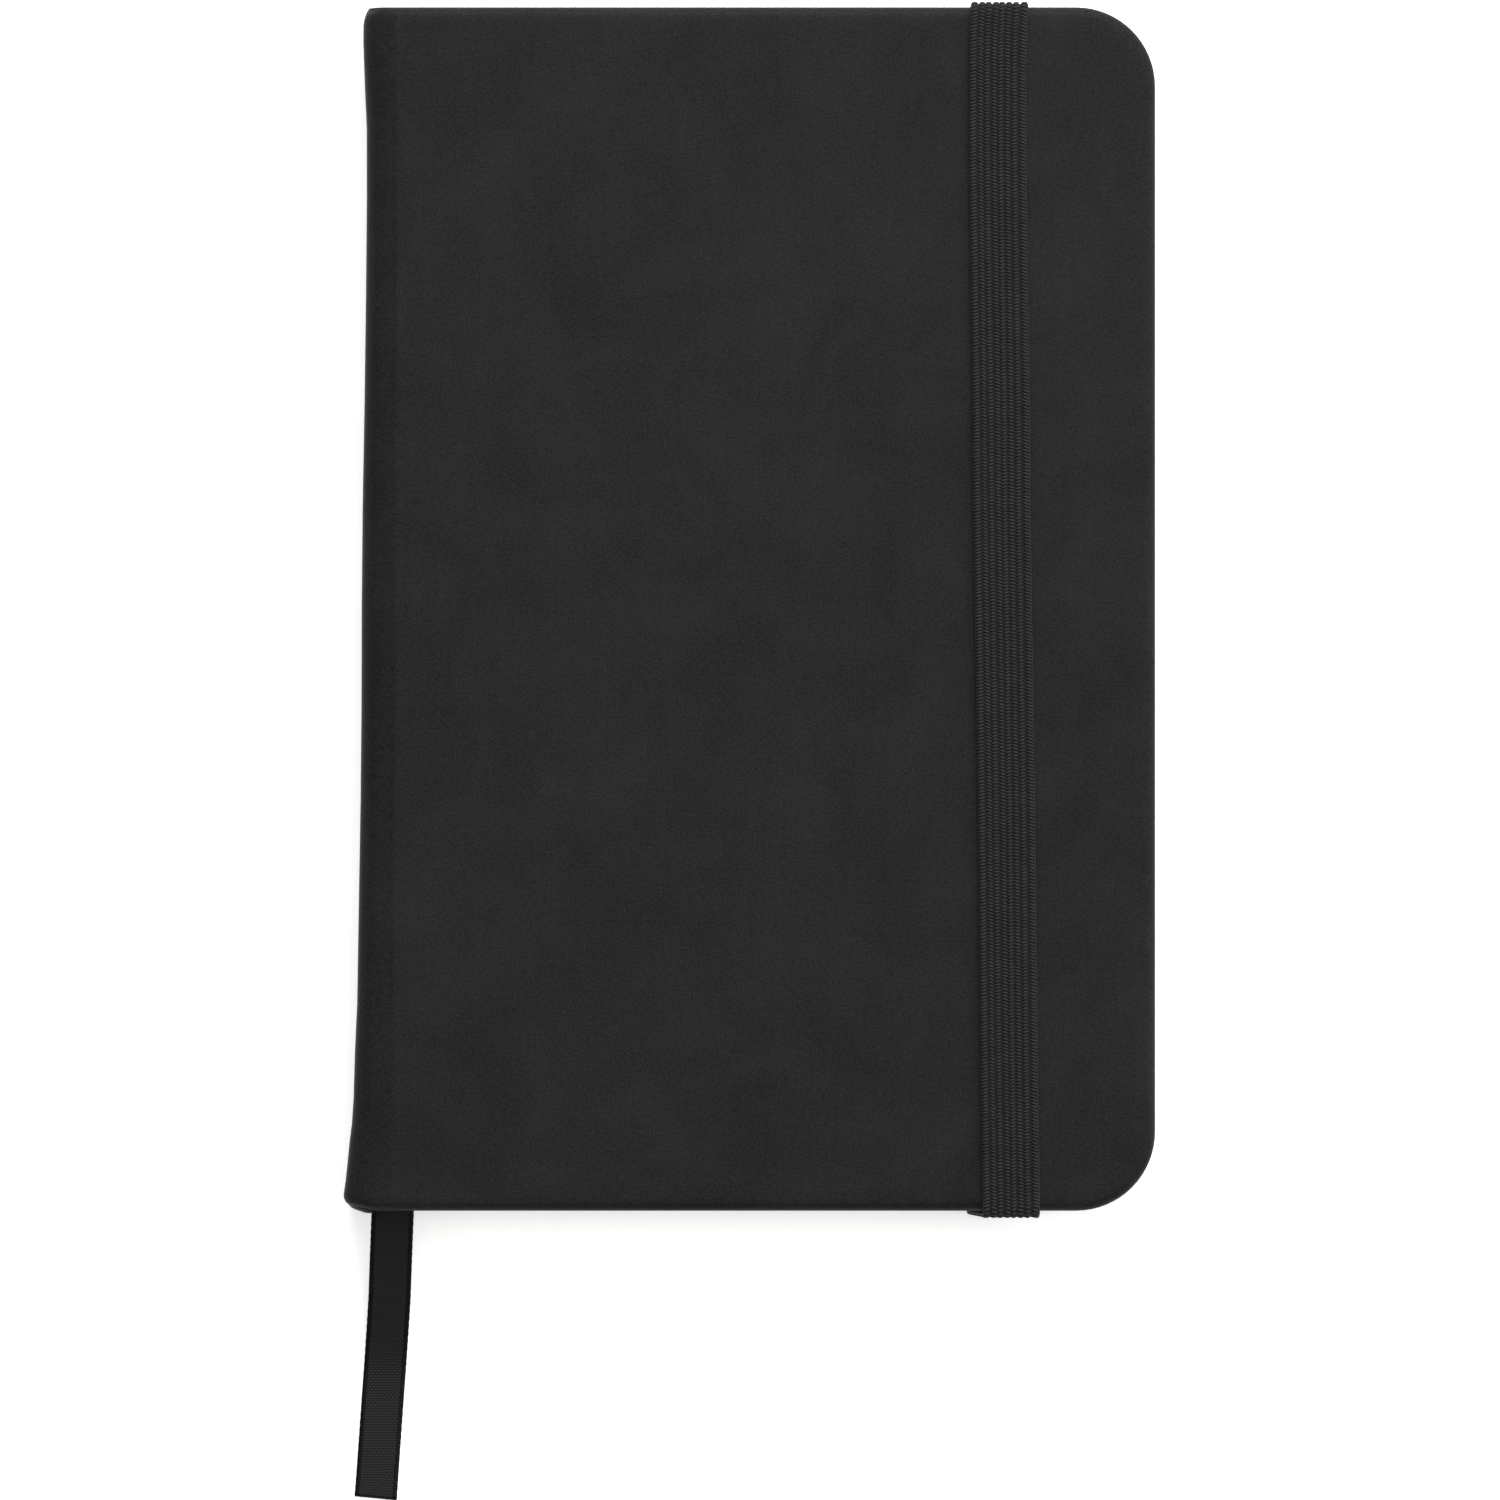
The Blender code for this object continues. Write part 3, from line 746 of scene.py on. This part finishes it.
    def roll_spine(self, work: bmesh.types.BMesh) -> None:
        """Roll the open hinge side round the shoulder and up to the middle of the spine."""
        size = self.sizes
        bmesh.ops.recalc_face_normals(work, faces=work.faces)
        chain = [e for e in work.edges if e.is_boundary and lies_at(e, 0, size.cut)]
        straight = size.cut - (size.spine + self.shoulder_radius)
        out = bmesh.ops.extrude_edge_only(work, edges=chain)["geom"]
        bmesh.ops.translate(work, verts=moved_verts(out), vec=(-straight, 0, 0))
        centre = Vector((size.spine + self.shoulder_radius, 0, self.shoulder_radius))
        spun = bmesh.ops.spin(work, geom=edges_of(out), cent=centre, axis=(0, 1, 0), dvec=(0, 0, 0),
                              angle=math.pi / 2, steps=self.shoulder_steps, use_merge=False)
        last = spun["geom_last"]
        if min(v.co.x for v in moved_verts(last)) > size.spine + 1 * MM:
            raise ValueError("the shoulder rolled the wrong way")
        rise = size.middle - self.shoulder_radius
        for _ in range(self.rise_steps):
            last = bmesh.ops.extrude_edge_only(work, edges=edges_of(last))["geom"]
            bmesh.ops.translate(work, verts=moved_verts(last), vec=(0, 0, rise / self.rise_steps))
        self.square_shoulder(work, centre)
        self.thin_spine(work, centre)

    def square_shoulder(self, work: bmesh.types.BMesh, centre: Vector) -> None:
        """Turn the round shoulder into a flat slope with a tight edge."""
        power = self.squareness
        for vert in work.verts:
            co = vert.co
            if co.x > centre.x + CUT or co.z > centre.z + CUT:
                continue
            arm = Vector((co.x - centre.x, 0, co.z - centre.z))
            if arm.length < CUT:
                continue
            side, down = abs(arm.x) / arm.length, abs(arm.z) / arm.length
            arm *= (side ** power + down ** power) ** (-1 / power)
            drop = self.spine_drop * min(side / max(down, side), 1.0) * down
            vert.co = Vector((centre.x + arm.x, co.y, centre.z + arm.z + drop))

    def thin_spine(self, work: bmesh.types.BMesh, centre: Vector) -> None:
        """Draw the folded cloth of the spine together, since it has no board in it."""
        for vert in work.verts:
            co = vert.co
            if co.x > centre.x + CUT:
                continue
            arm = Vector((co.x - centre.x, 0, min(co.z - centre.z, 0)))
            reach = arm.length if co.z < centre.z else centre.x - co.x
            depth = self.shoulder_radius - reach
            turned = math.atan2(centre.x - co.x, max(centre.z - co.z, 0.0)) / self.full_fold_turn
            thinner = depth * self.spine_fold * smooth(turned) * (1.0 if depth > 0 else 0.0)
            direction = arm.normalized() if co.z < centre.z else Vector((-1, 0, 0))
            vert.co = co + direction * thinner

    def add_columns(self, work: bmesh.types.BMesh) -> None:
        """Cut lines along the joint, so the cloth can bend there."""
        at = self.sizes.cut + self.column
        while at < self.columns_to:
            cut(work, (at, 0, 0), (1, 0, 0))
            at += self.column

    def add_rows(self, work: bmesh.types.BMesh) -> None:
        """Cut lines across the spine, so that its edge can follow its line."""
        places = [y for y, _ in self.spine_line if abs(y) < self.rows_within]
        places += [(a + b) / 2 for a, b in zip(places, places[1:])]
        for y in sorted(places):
            near = [f for f in work.faces if f.calc_center_median().x < self.columns_to]
            part = list({v for f in near for v in f.verts}) + list({e for f in near for e in f.edges}) + near
            cut(work, (0, y * MM, 0), (0, 1, 0), part)

    def bend_spine_line(self, work: bmesh.types.BMesh) -> None:
        """Move the spine's edge and the joint to their own lines, less and less towards the cover."""
        reach = self.columns_to - self.sizes.spine
        for vert in work.verts:
            share = min(max((self.columns_to - vert.co.x) / reach, 0.0), 1.0)
            if share > 0:
                vert.co.x += between(self.spine_line, vert.co.y / MM) * MM * share ** self.line_fade

    def press_channels(self, work: bmesh.types.BMesh) -> None:
        """Press the two channels for the elastic's fixed ends into the back cover's outer face."""
        for x, side in zip(self.band_x, (1, -1)):
            low, high = x - self.band_half, x + self.band_half
            for at in (low - self.channel_slope, low, high, high + self.channel_slope):
                cut(work, (at, 0, 0), (1, 0, 0))
            for at in (self.slot_y - self.channel_slope, self.slot_y):
                cut(work, (0, side * at, 0), (0, 1, 0))
            for vert in work.verts:
                inside = low - TOUCH <= vert.co.x <= high + TOUCH
                if inside and side * vert.co.y > self.slot_y - TOUCH:
                    vert.co.z = max(vert.co.z, self.channel_depth)

    def back_half(self, channels: bool) -> bmesh.types.BMesh:
        """The cloth of the back cover and its half of the spine.

        Args:
            channels: whether to press in the elastic's channels.

        Returns:
            An open sheet, outer side outwards.
        """
        work = self.slab()
        self.open_board_pocket(work)
        self.soften_edges(work)
        self.roll_spine(work)
        self.add_columns(work)
        self.add_rows(work)
        self.bend_spine_line(work)
        if channels:
            self.press_channels(work)
        bmesh.ops.recalc_face_normals(work, faces=work.faces)
        return work

    @staticmethod
    def face_outwards(work: bmesh.types.BMesh) -> None:
        """Turn an open sheet's faces so that its outer side is outside."""
        bmesh.ops.recalc_face_normals(work, faces=work.faces)
        probe = min(work.faces, key=lambda f: f.calc_center_median().x)
        if probe.normal.x > 0:
            bmesh.ops.reverse_faces(work, faces=work.faces)

    def build(self) -> list[bpy.types.Object]:
        """Make the three pieces of the sheet."""
        size = self.sizes
        split = ((0, 0, self.middle_low), (0, 0, 1))
        back = self.back_half(channels=True)
        cut(back, *split, clear_outer=True)
        self.face_outwards(back)
        rear = finish_mesh("cloth_back_cover", back, CLOTH, Body.BACK, recalculate=False)
        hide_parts("back_cover_skin", "spine_skin_lower")
        strip = self.back_half(channels=False)
        cut(strip, *split, clear_inner=True)
        bmesh.ops.mirror(strip, geom=whole(strip), matrix=Matrix.Translation((0, 0, -size.middle)),
                         merge_dist=TOUCH, axis="Z")
        self.face_outwards(strip)
        middle = finish_mesh("cloth_spine_middle", strip, CLOTH, recalculate=False)
        front = self.back_half(channels=False)
        cut(front, *split, clear_outer=True)
        bmesh.ops.scale(front, verts=front.verts, vec=(1, 1, -1))
        bmesh.ops.translate(front, verts=front.verts, vec=(0, 0, size.top))
        self.face_outwards(front)
        cover = finish_mesh("cloth_front_cover", front, CLOTH, recalculate=False)
        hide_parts("front_cover_skin", "spine_skin_upper")
        for piece in (rear, middle, cover):
            thicken(piece, self.cloth)
        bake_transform(middle)
        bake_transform(cover)
        return [rear, middle, cover]


# ---------------------------------------------------------------- leaves and endpapers


@dataclass
class LeafBlock:
    """Ten sewn sections of eight leaves."""

    sections: int = 10
    leaves: int = 8
    corner_radius: float = 7.0 * MM
    corner_steps: int = 6
    leaf: float = 0.078 * MM
    stray: float = 0.10 * MM
    end_stray: float = 0.6
    set_back: float = 0.25 * MM
    seed: int = 11

    def build(self) -> list[bpy.types.Object]:
        """Make each section as its own piece of separate leaves."""
        chance = random.Random(self.seed)
        made = []
        for number in range(1, self.sections + 1):
            node = f"page_section_{number:02d}"
            low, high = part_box(node)
            body = Body.BACK if number <= self.sections // 2 else Body.LEAVES
            work = bmesh.new()
            pitch = (high.z - low.z - self.leaf) / (self.leaves - 1)
            for index in range(self.leaves):
                fold = abs(index - (self.leaves - 1) / 2) / (self.leaves / 2)
                self.add_leaf(work, low, high, low.z + pitch * index, fold, chance)
            piece = finish_mesh(f"leaves_of_section_{number:02d}", work, PAGE, body, shaded_smooth=False)
            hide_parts(node)
            made.append(piece)
        return made

    def add_leaf(self, work: bmesh.types.BMesh, low: Vector, high: Vector, z: float, fold: float,
                 chance: random.Random) -> None:
        """Add one leaf to a section.

        Args:
            work: the section so far.
            low: the section's lowest corner.
            high: its highest corner.
            z: the leaf's underside.
            fold: 0 for a middle leaf of the section, nearly 1 for an outer one.
            chance: the random numbers for how leaves stray.
        """
        fore = high.x - chance.uniform(0, self.stray)
        head = high.y - chance.uniform(0, self.stray) * self.end_stray
        tail = low.y + chance.uniform(0, self.stray) * self.end_stray
        spine = low.x + self.set_back * fold * fold
        leaf = card((spine, fore), (tail, head), z, self.leaf, self.corner_radius, self.corner_steps)
        mesh = bpy.data.meshes.new("one_leaf")
        leaf.to_mesh(mesh)
        leaf.free()
        work.from_mesh(mesh)
        bpy.data.meshes.remove(mesh)


@dataclass
class FoldStrips:
    """The paper folds that cross the two hinges: one in each cover's joint, one in the middle of the book."""

    sizes: NotebookSizes
    paper: float = 0.15 * MM
    page: float = 0.06 * MM
    end_gap: float = 0.3 * MM
    tuck: float = 0.1 * MM
    clear: float = 0.05 * MM
    joint_steps: int = 16
    middle_clear: float = 0.08 * MM
    middle_tuck: float = 1.2 * MM
    middle_reach: float = 0.25 * MM
    middle_turn: float = 80.0
    middle_steps: int = 10

    def arch(self, name: str, path: Sequence[tuple[float, float]], half: float,
             finish: Finish) -> bpy.types.Object:
        """A bent strip of paper.

        Args:
            name: the piece's name.
            path: its section in X and Z.
            half: half its length along Y.
            finish: its paper.

        Returns:
            The piece, which rides on nothing yet.
        """
        work = bmesh.new()
        line = [work.verts.new((x, -half, z)) for x, z in path]
        edges = [work.edges.new(pair) for pair in zip(line, line[1:])]
        far = bmesh.ops.extrude_edge_only(work, edges=edges)["geom"]
        bmesh.ops.translate(work, verts=moved_verts(far), vec=(0, 2 * half, 0))
        piece = finish_mesh(name, work, finish)
        thicken(piece, self.paper, 0.0)
        return piece

    def build(self) -> list[bpy.types.Object]:
        """Make the three folds."""
        size = self.sizes
        half = size.page_half - self.end_gap
        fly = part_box("front_flyleaf")[1].z
        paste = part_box("front_pastedown")[0].z
        shares = [i / self.joint_steps for i in range(self.joint_steps + 1)]
        joint = [(size.page_low_x + self.tuck + (size.cut - size.page_low_x) * share,
                  fly + self.clear + (paste - fly - 2 * self.clear) * smooth(share)) for share in shares]
        front = self.arch("endpaper_fold_front", joint, half, ENDPAPER)
        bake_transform(front)
        under = [(x, size.top - z) for x, z in joint]
        back = self.arch("endpaper_fold_back", under, half, ENDPAPER)
        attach(back, Body.BACK.value)
        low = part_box("page_section_05")[1].z
        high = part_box("page_section_06")[0].z
        turn = (high - low) / 2 - self.middle_clear
        middle = (high + low) / 2
        inner = size.page_low_x + self.middle_tuck
        outer = size.page_low_x - self.middle_reach
        bend = arc((outer + turn, middle), turn, 180 + self.middle_turn, 180 - self.middle_turn,
                   self.middle_steps)
        path = [(inner, middle - turn), ((inner + outer) / 2, middle - turn)] + bend + [
            ((inner + outer) / 2, middle + turn), (inner, middle + turn)]
        spread = self.arch("middle_fold", path, half, PAGE)
        spread.modifiers["thickness"].thickness = self.page
        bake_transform(spread)
        return [front, back, spread]


def dress_hidden_parts(frame: dict[str, Any]) -> None:
    """Give the CAD nodes that stay in view their finishes.

    Args:
        frame: the loaded frame.
    """
    finishes = (("board", BOARD), ("pastedown", ENDPAPER), ("flyleaf", ENDPAPER), ("lining", MULL),
                ("thread", THREAD))
    for name, node in sorted(frame["nodes"].items()):
        for word, finish in finishes:
            if word in name:
                node.data.materials.clear()
                node.data.materials.append(finish.material())
                log.info("%s: %s", name, finish.name)


# ---------------------------------------------------------------- elastic


@dataclass
class StripPath:
    """A path in space for a flat strip, with its width lying along X."""

    points: list[Point]
    lengths: list[float] = field(default_factory=list)

    def __post_init__(self) -> None:
        """Measure the path."""
        total = 0.0
        self.lengths = [0.0]
        for one, two in zip(self.points, self.points[1:]):
            total += (Vector(two) - Vector(one)).length
            self.lengths.append(total)

    @property
    def length(self) -> float:
        """The path's whole length."""
        return self.lengths[-1]

    def frame_at(self, distance: float) -> tuple[Vector, Vector, Vector]:
        """The point, the direction along, and the outward normal at a distance along the path.

        Args:
            distance: how far along.

        Returns:
            The point, the tangent, and the normal that faces out.
        """
        distance = min(max(distance, 0.0), self.length)
        index = next((i for i in range(1, len(self.lengths)) if self.lengths[i] >= distance - 1e-12),
                     len(self.lengths) - 1)
        one, two = Vector(self.points[index - 1]), Vector(self.points[index])
        span = self.lengths[index] - self.lengths[index - 1]
        share = (distance - self.lengths[index - 1]) / span if span else 0.0
        along = (two - one).normalized()
        normal = along.cross(Vector((1, 0, 0)))
        return one.lerp(two, share), along, normal.normalized()

    def rings(self, section: Sequence[tuple[float, float]]) -> list[list[Vector]]:
        """A section repeated at each point of the path.

        Args:
            section: its points, as places across the strip and heights over it.

        Returns:
            One ring of points for each point of the path.
        """
        made = []
        for length in self.lengths:
            at, _, normal = self.frame_at(length)
            made.append([at + Vector((across, 0, 0)) + normal * high for across, high in section])
        return made


@dataclass
class KnittedElastic:
    """The elastic, over the front and through the back: a ribbed ground with a stitch row on each rib."""

    sizes: NotebookSizes
    width: float = 6.5 * MM
    thickness: float = 0.42 * MM
    gap: float = 0.03 * MM
    tail_slack: float = 0.22 * MM
    lean: float = 1.7 * MM
    bend: float = 0.9 * MM
    bend_steps: int = 8
    run_steps: int = 60
    leg_steps: int = 6
    # The ground's section: its points, and each rib's half width and share of the thickness.
    section_steps: int = 32
    rib_half_mm: float = 0.22
    rib_share: float = 0.55
    # The stitches: their size, how deep they sit, and how much they stray.
    stitch_pitch: float = 0.385 * MM
    stitch_half: Point = (0.39 * MM, 0.135 * MM, 0.17 * MM)
    stitch_sunk: float = 0.3
    stitch_seat: float = 0.92
    edge_wide: float = 1.12
    least_wide: float = 0.86
    stray_along: float = 0.1
    stray_turn: float = 7.0
    stray_mm: float = 0.03
    # Each rib's place across in millimetres, and how its stitches lean in degrees.
    ribs: tuple[float, ...] = (-2.88, -2.01, -1.27, -0.41, 0.30, 1.10, 1.90, 2.86)
    tilt: tuple[float, ...] = (-16.0, 20.0, -12.0, 14.0, -20.0, 12.0, -16.0, 18.0)
    edge_radius: float = 0.09 * MM
    edge_inset: float = 0.02 * MM
    edge_steps: int = 8
    # The fixed ends: how high they lie in their channels, and where they turn in through the back cover.
    end_floor: float = 0.33 * MM
    end_overlap: float = 0.1 * MM
    end_bend: float = 0.6 * MM
    slot_y: float = 60.6 * MM
    slot_bend: float = 0.35 * MM
    slot_top: float = 1.5 * MM
    seed: int = 5
    # The run's middle line from head to tail: y and x, in millimetres.
    line: tuple[tuple[float, float], ...] = (
        (70.0, 28.1), (66.0, 27.85), (53.0, 27.85), (47.0, 27.92), (36.0, 28.08), (24.0, 28.26),
        (12.0, 28.34), (1.0, 28.50), (-10.6, 28.68), (-22.0, 28.86), (-34.0, 29.00), (-46.0, 29.12),
        (-57.0, 29.25), (-63.0, 29.34), (-70.0, 29.45))

    @property
    def y_out(self) -> float:
        """How far out the legs' middle line lies."""
        return self.sizes.half + self.gap + self.thickness / 2

    def run_path(self) -> StripPath:
        """The swinging part: a leg at the head, the run over the front cover, and a leg at the tail."""
        size = self.sizes
        z_top = size.band_high - self.thickness / 2 - self.stitch_half[2] * self.stitch_sunk
        flat, low = self.y_out - self.bend, z_top - self.bend
        leg = [(self.y_out, size.band_low + (low - size.band_low) * i / self.leg_steps)
               for i in range(self.leg_steps)]
        head = leg + arc((flat, low), self.bend, 0, 90, self.bend_steps)
        run = [(flat - 2 * flat * i / self.run_steps, z_top) for i in range(1, self.run_steps)]
        tail = [(-y - self.tail_slack, z) for y, z in reversed(head)]
        points: list[Point] = []
        for y, z in head + run + tail:
            x = between(self.line, y / MM) * MM
            if y < -size.half:
                x -= self.lean * (1 - smooth((z - size.band_low) / (z_top - size.band_low)))
            points.append((x, y, z))
        return StripPath(points)

    def end_path(self, x: float, side: int) -> StripPath:
        """A fixed end: round the back cover's edge, along its channel, and in through the slot.

        Args:
            x: the end's place across the cover.
            side: 1 at the head, -1 at the tail.

        Returns:
            The path.
        """
        points = [(self.y_out, self.sizes.band_low - self.end_overlap)]
        points += arc((self.y_out - self.end_bend, self.end_floor + self.end_bend), self.end_bend, 0, -90, 6)
        points += arc((self.slot_y, self.end_floor + self.slot_bend), self.slot_bend, -90, -180, 4)
        points += [(self.slot_y - self.slot_bend, self.slot_top)]
        placed = [(x, side * y, z) for y, z in points]
        if side > 0:
            placed.reverse()
        return StripPath(placed)

    def ground(self, path: StripPath) -> bmesh.types.BMesh:
        """The ribbed ground under the stitches, swept along the path.

        Args:
            path: the strip's path.

        Returns:
            The closed ground.
        """
        section: list[tuple[float, float]] = []
        for i in range(self.section_steps + 1):
            across = -self.width / 2 + self.width * i / self.section_steps
            crest = max(math.exp(-((across / MM - rib) / self.rib_half_mm) ** 2) for rib in self.ribs)
            section.append((across, self.thickness / 2 * (1 - self.rib_share + self.rib_share * crest)))
        work = bmesh.new()
        loft(work, path.rings(section + [(a, -h) for a, h in reversed(section)]))
        return work

    @staticmethod
    def bead() -> tuple[list[Vector], list[tuple[int, ...]]]:
        """One stitch: the points and faces of a small round bead."""
        work = bmesh.new()
        bmesh.ops.create_uvsphere(work, u_segments=7, v_segments=4, radius=1)
        work.verts.index_update()
        points = [v.co.copy() for v in work.verts]
        faces = [tuple(v.index for v in f.verts) for f in work.faces]
        work.free()
        return points, faces

    def stitches(self, path: StripPath) -> bmesh.types.BMesh:
        """The knitted stitches: one row of beads on each rib.

        Args:
            path: the strip's path.

        Returns:
            The stitches.
        """
        chance = random.Random(self.seed)
        points, faces = self.bead()
        across, along, high = self.stitch_half
        verts: list[Vector] = []
        rows: list[tuple[int, ...]] = []
        for rib, (place, tilt) in enumerate(zip(self.ribs, self.tilt)):
            shift = self.stitch_pitch * chance.random()
            edge = rib in (0, len(self.ribs) - 1)
            for index in range(int(path.length / self.stitch_pitch)):
                stray = chance.uniform(-self.stray_along, self.stray_along) * along
                at, direction, normal = path.frame_at(self.stitch_pitch * index + shift + stray)
                turn = math.radians(tilt + chance.uniform(-self.stray_turn, self.stray_turn))
                wide = across * (self.edge_wide if edge else chance.uniform(self.least_wide, 1.0))
                axis_x = Vector((1, 0, 0)) * math.cos(turn) + direction * math.sin(turn)
                axis_y = normal.cross(axis_x).normalized()
                sway = (place + chance.uniform(-self.stray_mm, self.stray_mm)) * MM
                spot = at + Vector((sway, 0, 0)) + normal * (self.thickness / 2 * self.stitch_seat)
                first = len(verts)
                verts += [spot + axis_x * (p.x * wide) + axis_y * (p.y * along) + normal * (p.z * high)
                          for p in points]
                rows += [tuple(first + i for i in face) for face in faces]
        mesh = bpy.data.meshes.new("stitches")
        mesh.from_pydata(verts, [], rows)
        work = bmesh.new()
        work.from_mesh(mesh)
        bpy.data.meshes.remove(mesh)
        return work

    def edge_cords(self, path: StripPath) -> bmesh.types.BMesh:
        """The two fine cords along the elastic's edges."""
        work = bmesh.new()
        reach = self.width / 2 - self.edge_inset
        for side in (-1, 1):
            # The last point of the round would be the first again, so it is left off.
            loft(work, path.rings(arc((side * reach, 0), self.edge_radius, 0, 360, self.edge_steps)[:-1]))
        return work

    def build(self) -> list[bpy.types.Object]:
        """Make the swinging band and its two fixed ends."""
        made = []
        path = self.run_path()
        parts = (("elastic_ground", self.ground(path), SHADED_GROUND_YARN),
                 ("elastic_stitches", self.stitches(path), YARN),
                 ("elastic_edge_cords", self.edge_cords(path), YARN))
        for name, work, finish in parts:
            piece = finish_mesh(name, work, finish, Body.ELASTIC)
            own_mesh(piece)
            made.append(piece)
        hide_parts("elastic_band")
        for word, x, side in (("head", 27.9 * MM, 1), ("tail", 28.2 * MM, -1)):
            end = self.end_path(x, side)
            ground = finish_mesh(f"elastic_{word}_end_ground", self.ground(end), SHADED_GROUND_YARN, Body.BACK)
            rows = finish_mesh(f"elastic_{word}_end_stitches", self.stitches(end), YARN, Body.BACK)
            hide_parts(f"elastic_{word}_end")
            for piece in (ground, rows):
                made.append(piece)
        return made


# ---------------------------------------------------------------- ribbon


@dataclass
class RibbonMarker:
    """The ribbon marker, from its glued head end, down the gutter, out at the tail, to the table."""

    width: float = 5.0 * MM
    thickness: float = 0.2 * MM
    in_book_z: float = 6.96 * MM
    on_table_z: float = 0.13 * MM
    drop_start: float = -68.0 * MM
    drop_end: float = -90.0 * MM
    # Its middle line from head to tail: y and x, in millimetres.
    centres: tuple[tuple[float, float], ...] = (
        (66.0, -41.9), (-56.0, -41.9), (-70.3, -42.66), (-80.6, -43.15), (-92.2, -44.0), (-104.2, -44.85))
    step: float = 0.45 * MM
    across: int = 14
    picot: float = 0.02 * MM
    picot_pitch: float = 0.95 * MM
    end_slant: float = 0.24 * MM
    slant_reach: float = 3 * MM
    edge_share: float = 0.95

    def centre(self, y: float) -> Vector:
        """The ribbon's middle at this y."""
        x = between(self.centres, y / MM) * MM
        share = smooth((self.drop_start - y) / (self.drop_start - self.drop_end))
        return Vector((x, y, self.in_book_z + (self.on_table_z - self.in_book_z) * share))

    def build(self) -> bpy.types.Object:
        start, end = self.centres[0][0] * MM, self.centres[-1][0] * MM
        count = round((start - end) / self.step)
        stations = [start + (end - start) * i / count for i in range(count + 1)]
        path = [self.centre(y) for y in stations]
        work = bmesh.new()
        uv = work.loops.layers.uv.new("strip")
        bmesh.ops.create_grid(work, x_segments=self.across, y_segments=count, size=0.5)
        places = StripPath([tuple(p) for p in path]).lengths
        for face in work.faces:
            for loop in face.loops:
                co = loop.vert.co
                row = round((0.5 - co.y) * count)
                loop[uv].uv = (co.x * self.width, places[row])
        for vert in work.verts:
            row = round((0.5 - vert.co.y) * count)
            share = vert.co.x * 2
            here = path[row]
            scallop = self.picot * math.cos(2 * math.pi * places[row] / self.picot_pitch)
            half = self.width / 2 - self.picot + (scallop if abs(share) > self.edge_share else 0.0)
            slant = self.end_slant * share * smooth(1 - (places[-1] - places[row]) / self.slant_reach)
            vert.co = Vector((here.x + share * half, here.y - slant, here.z))
        ribbon = finish_mesh("ribbon_marker", work, RIBBON, Body.BACK)
        thicken(ribbon, self.thickness, 0.0)
        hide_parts("ribbon_bookmark")
        log.info("ribbon: %.1f mm long", places[-1] / MM)
        return ribbon


# ---------------------------------------------------------------- studio


@dataclass
class Studio:
    """A pale floor, soft lights and a camera straight above."""

    sizes: NotebookSizes
    centre: tuple[float, float] = (-0.93 * MM, -16.4 * MM)
    frame_width: float = 174.34 * MM
    lens: float = 300.0
    sensor: float = 36.0
    floor_size: float = 3.0
    floor_gap: float = 0.02 * MM
    surround: float = 0.3
    # Each light's name, place, side and power.
    lights: tuple[tuple[str, Point, float, float], ...] = (
        ("head_softbox", (0.10, 0.85, 0.68), 0.8, 13.5),
        ("overhead_softbox", (0.25, 0.25, 1.6), 1.2, 8.0),
        ("right_softbox", (1.0, 0.0, 0.65), 0.7, 6.0))

    def floor(self) -> None:
        """Make the floor."""
        work = bmesh.new()
        bmesh.ops.create_grid(work, x_segments=1, y_segments=1, size=self.floor_size)
        bmesh.ops.translate(work, verts=work.verts, vec=(0, 0, -self.floor_gap))
        finish_mesh("floor", work, SWEEP, recalculate=False)

    @staticmethod
    def light(name: str, at: Point, size: float, power: float) -> None:
        """Add one square soft light that faces the notebook."""
        lamp = bpy.data.lights.new(name, "AREA")
        lamp.shape = "SQUARE"
        lamp.size = size
        lamp.energy = power
        placed = bpy.data.objects.new(name, lamp)
        placed.location = at
        aim = Vector((0, 0, 0)) - Vector(at)
        placed.rotation_euler = aim.to_track_quat("-Z", "Y").to_euler()
        bpy.context.scene.collection.objects.link(placed)

    def build(self) -> None:
        """Make the floor, lights, surround and camera."""
        self.floor()
        for light in self.lights:
            self.light(*light)
        world = bpy.data.worlds.new("studio")
        world.use_nodes = True
        back = world.node_tree.nodes["Background"]
        back.inputs["Color"].default_value = (1, 1, 1, 1)
        back.inputs["Strength"].default_value = self.surround
        bpy.context.scene.world = world
        camera = bpy.data.cameras.new("camera")
        camera.lens = self.lens
        camera.sensor_width = self.sensor
        placed = bpy.data.objects.new("camera", camera)
        distance = self.frame_width * self.lens / self.sensor
        placed.location = (*self.centre, self.sizes.top + distance)
        bpy.context.scene.collection.objects.link(placed)
        bpy.context.scene.camera = placed
        bpy.context.scene.view_settings.view_transform = "Standard"


def main() -> None:
    """Build the notebook and its studio."""
    logging.basicConfig(level=logging.INFO, format="%(message)s")
    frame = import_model()
    sizes = NotebookSizes.read()
    Studio(sizes).build()
    RibbonMarker().build()
    ClothCase(sizes).build()
    LeafBlock().build()
    FoldStrips(sizes).build()
    KnittedElastic(sizes).build()
    dress_hidden_parts(frame)


if __name__ == "__main__":
    main()
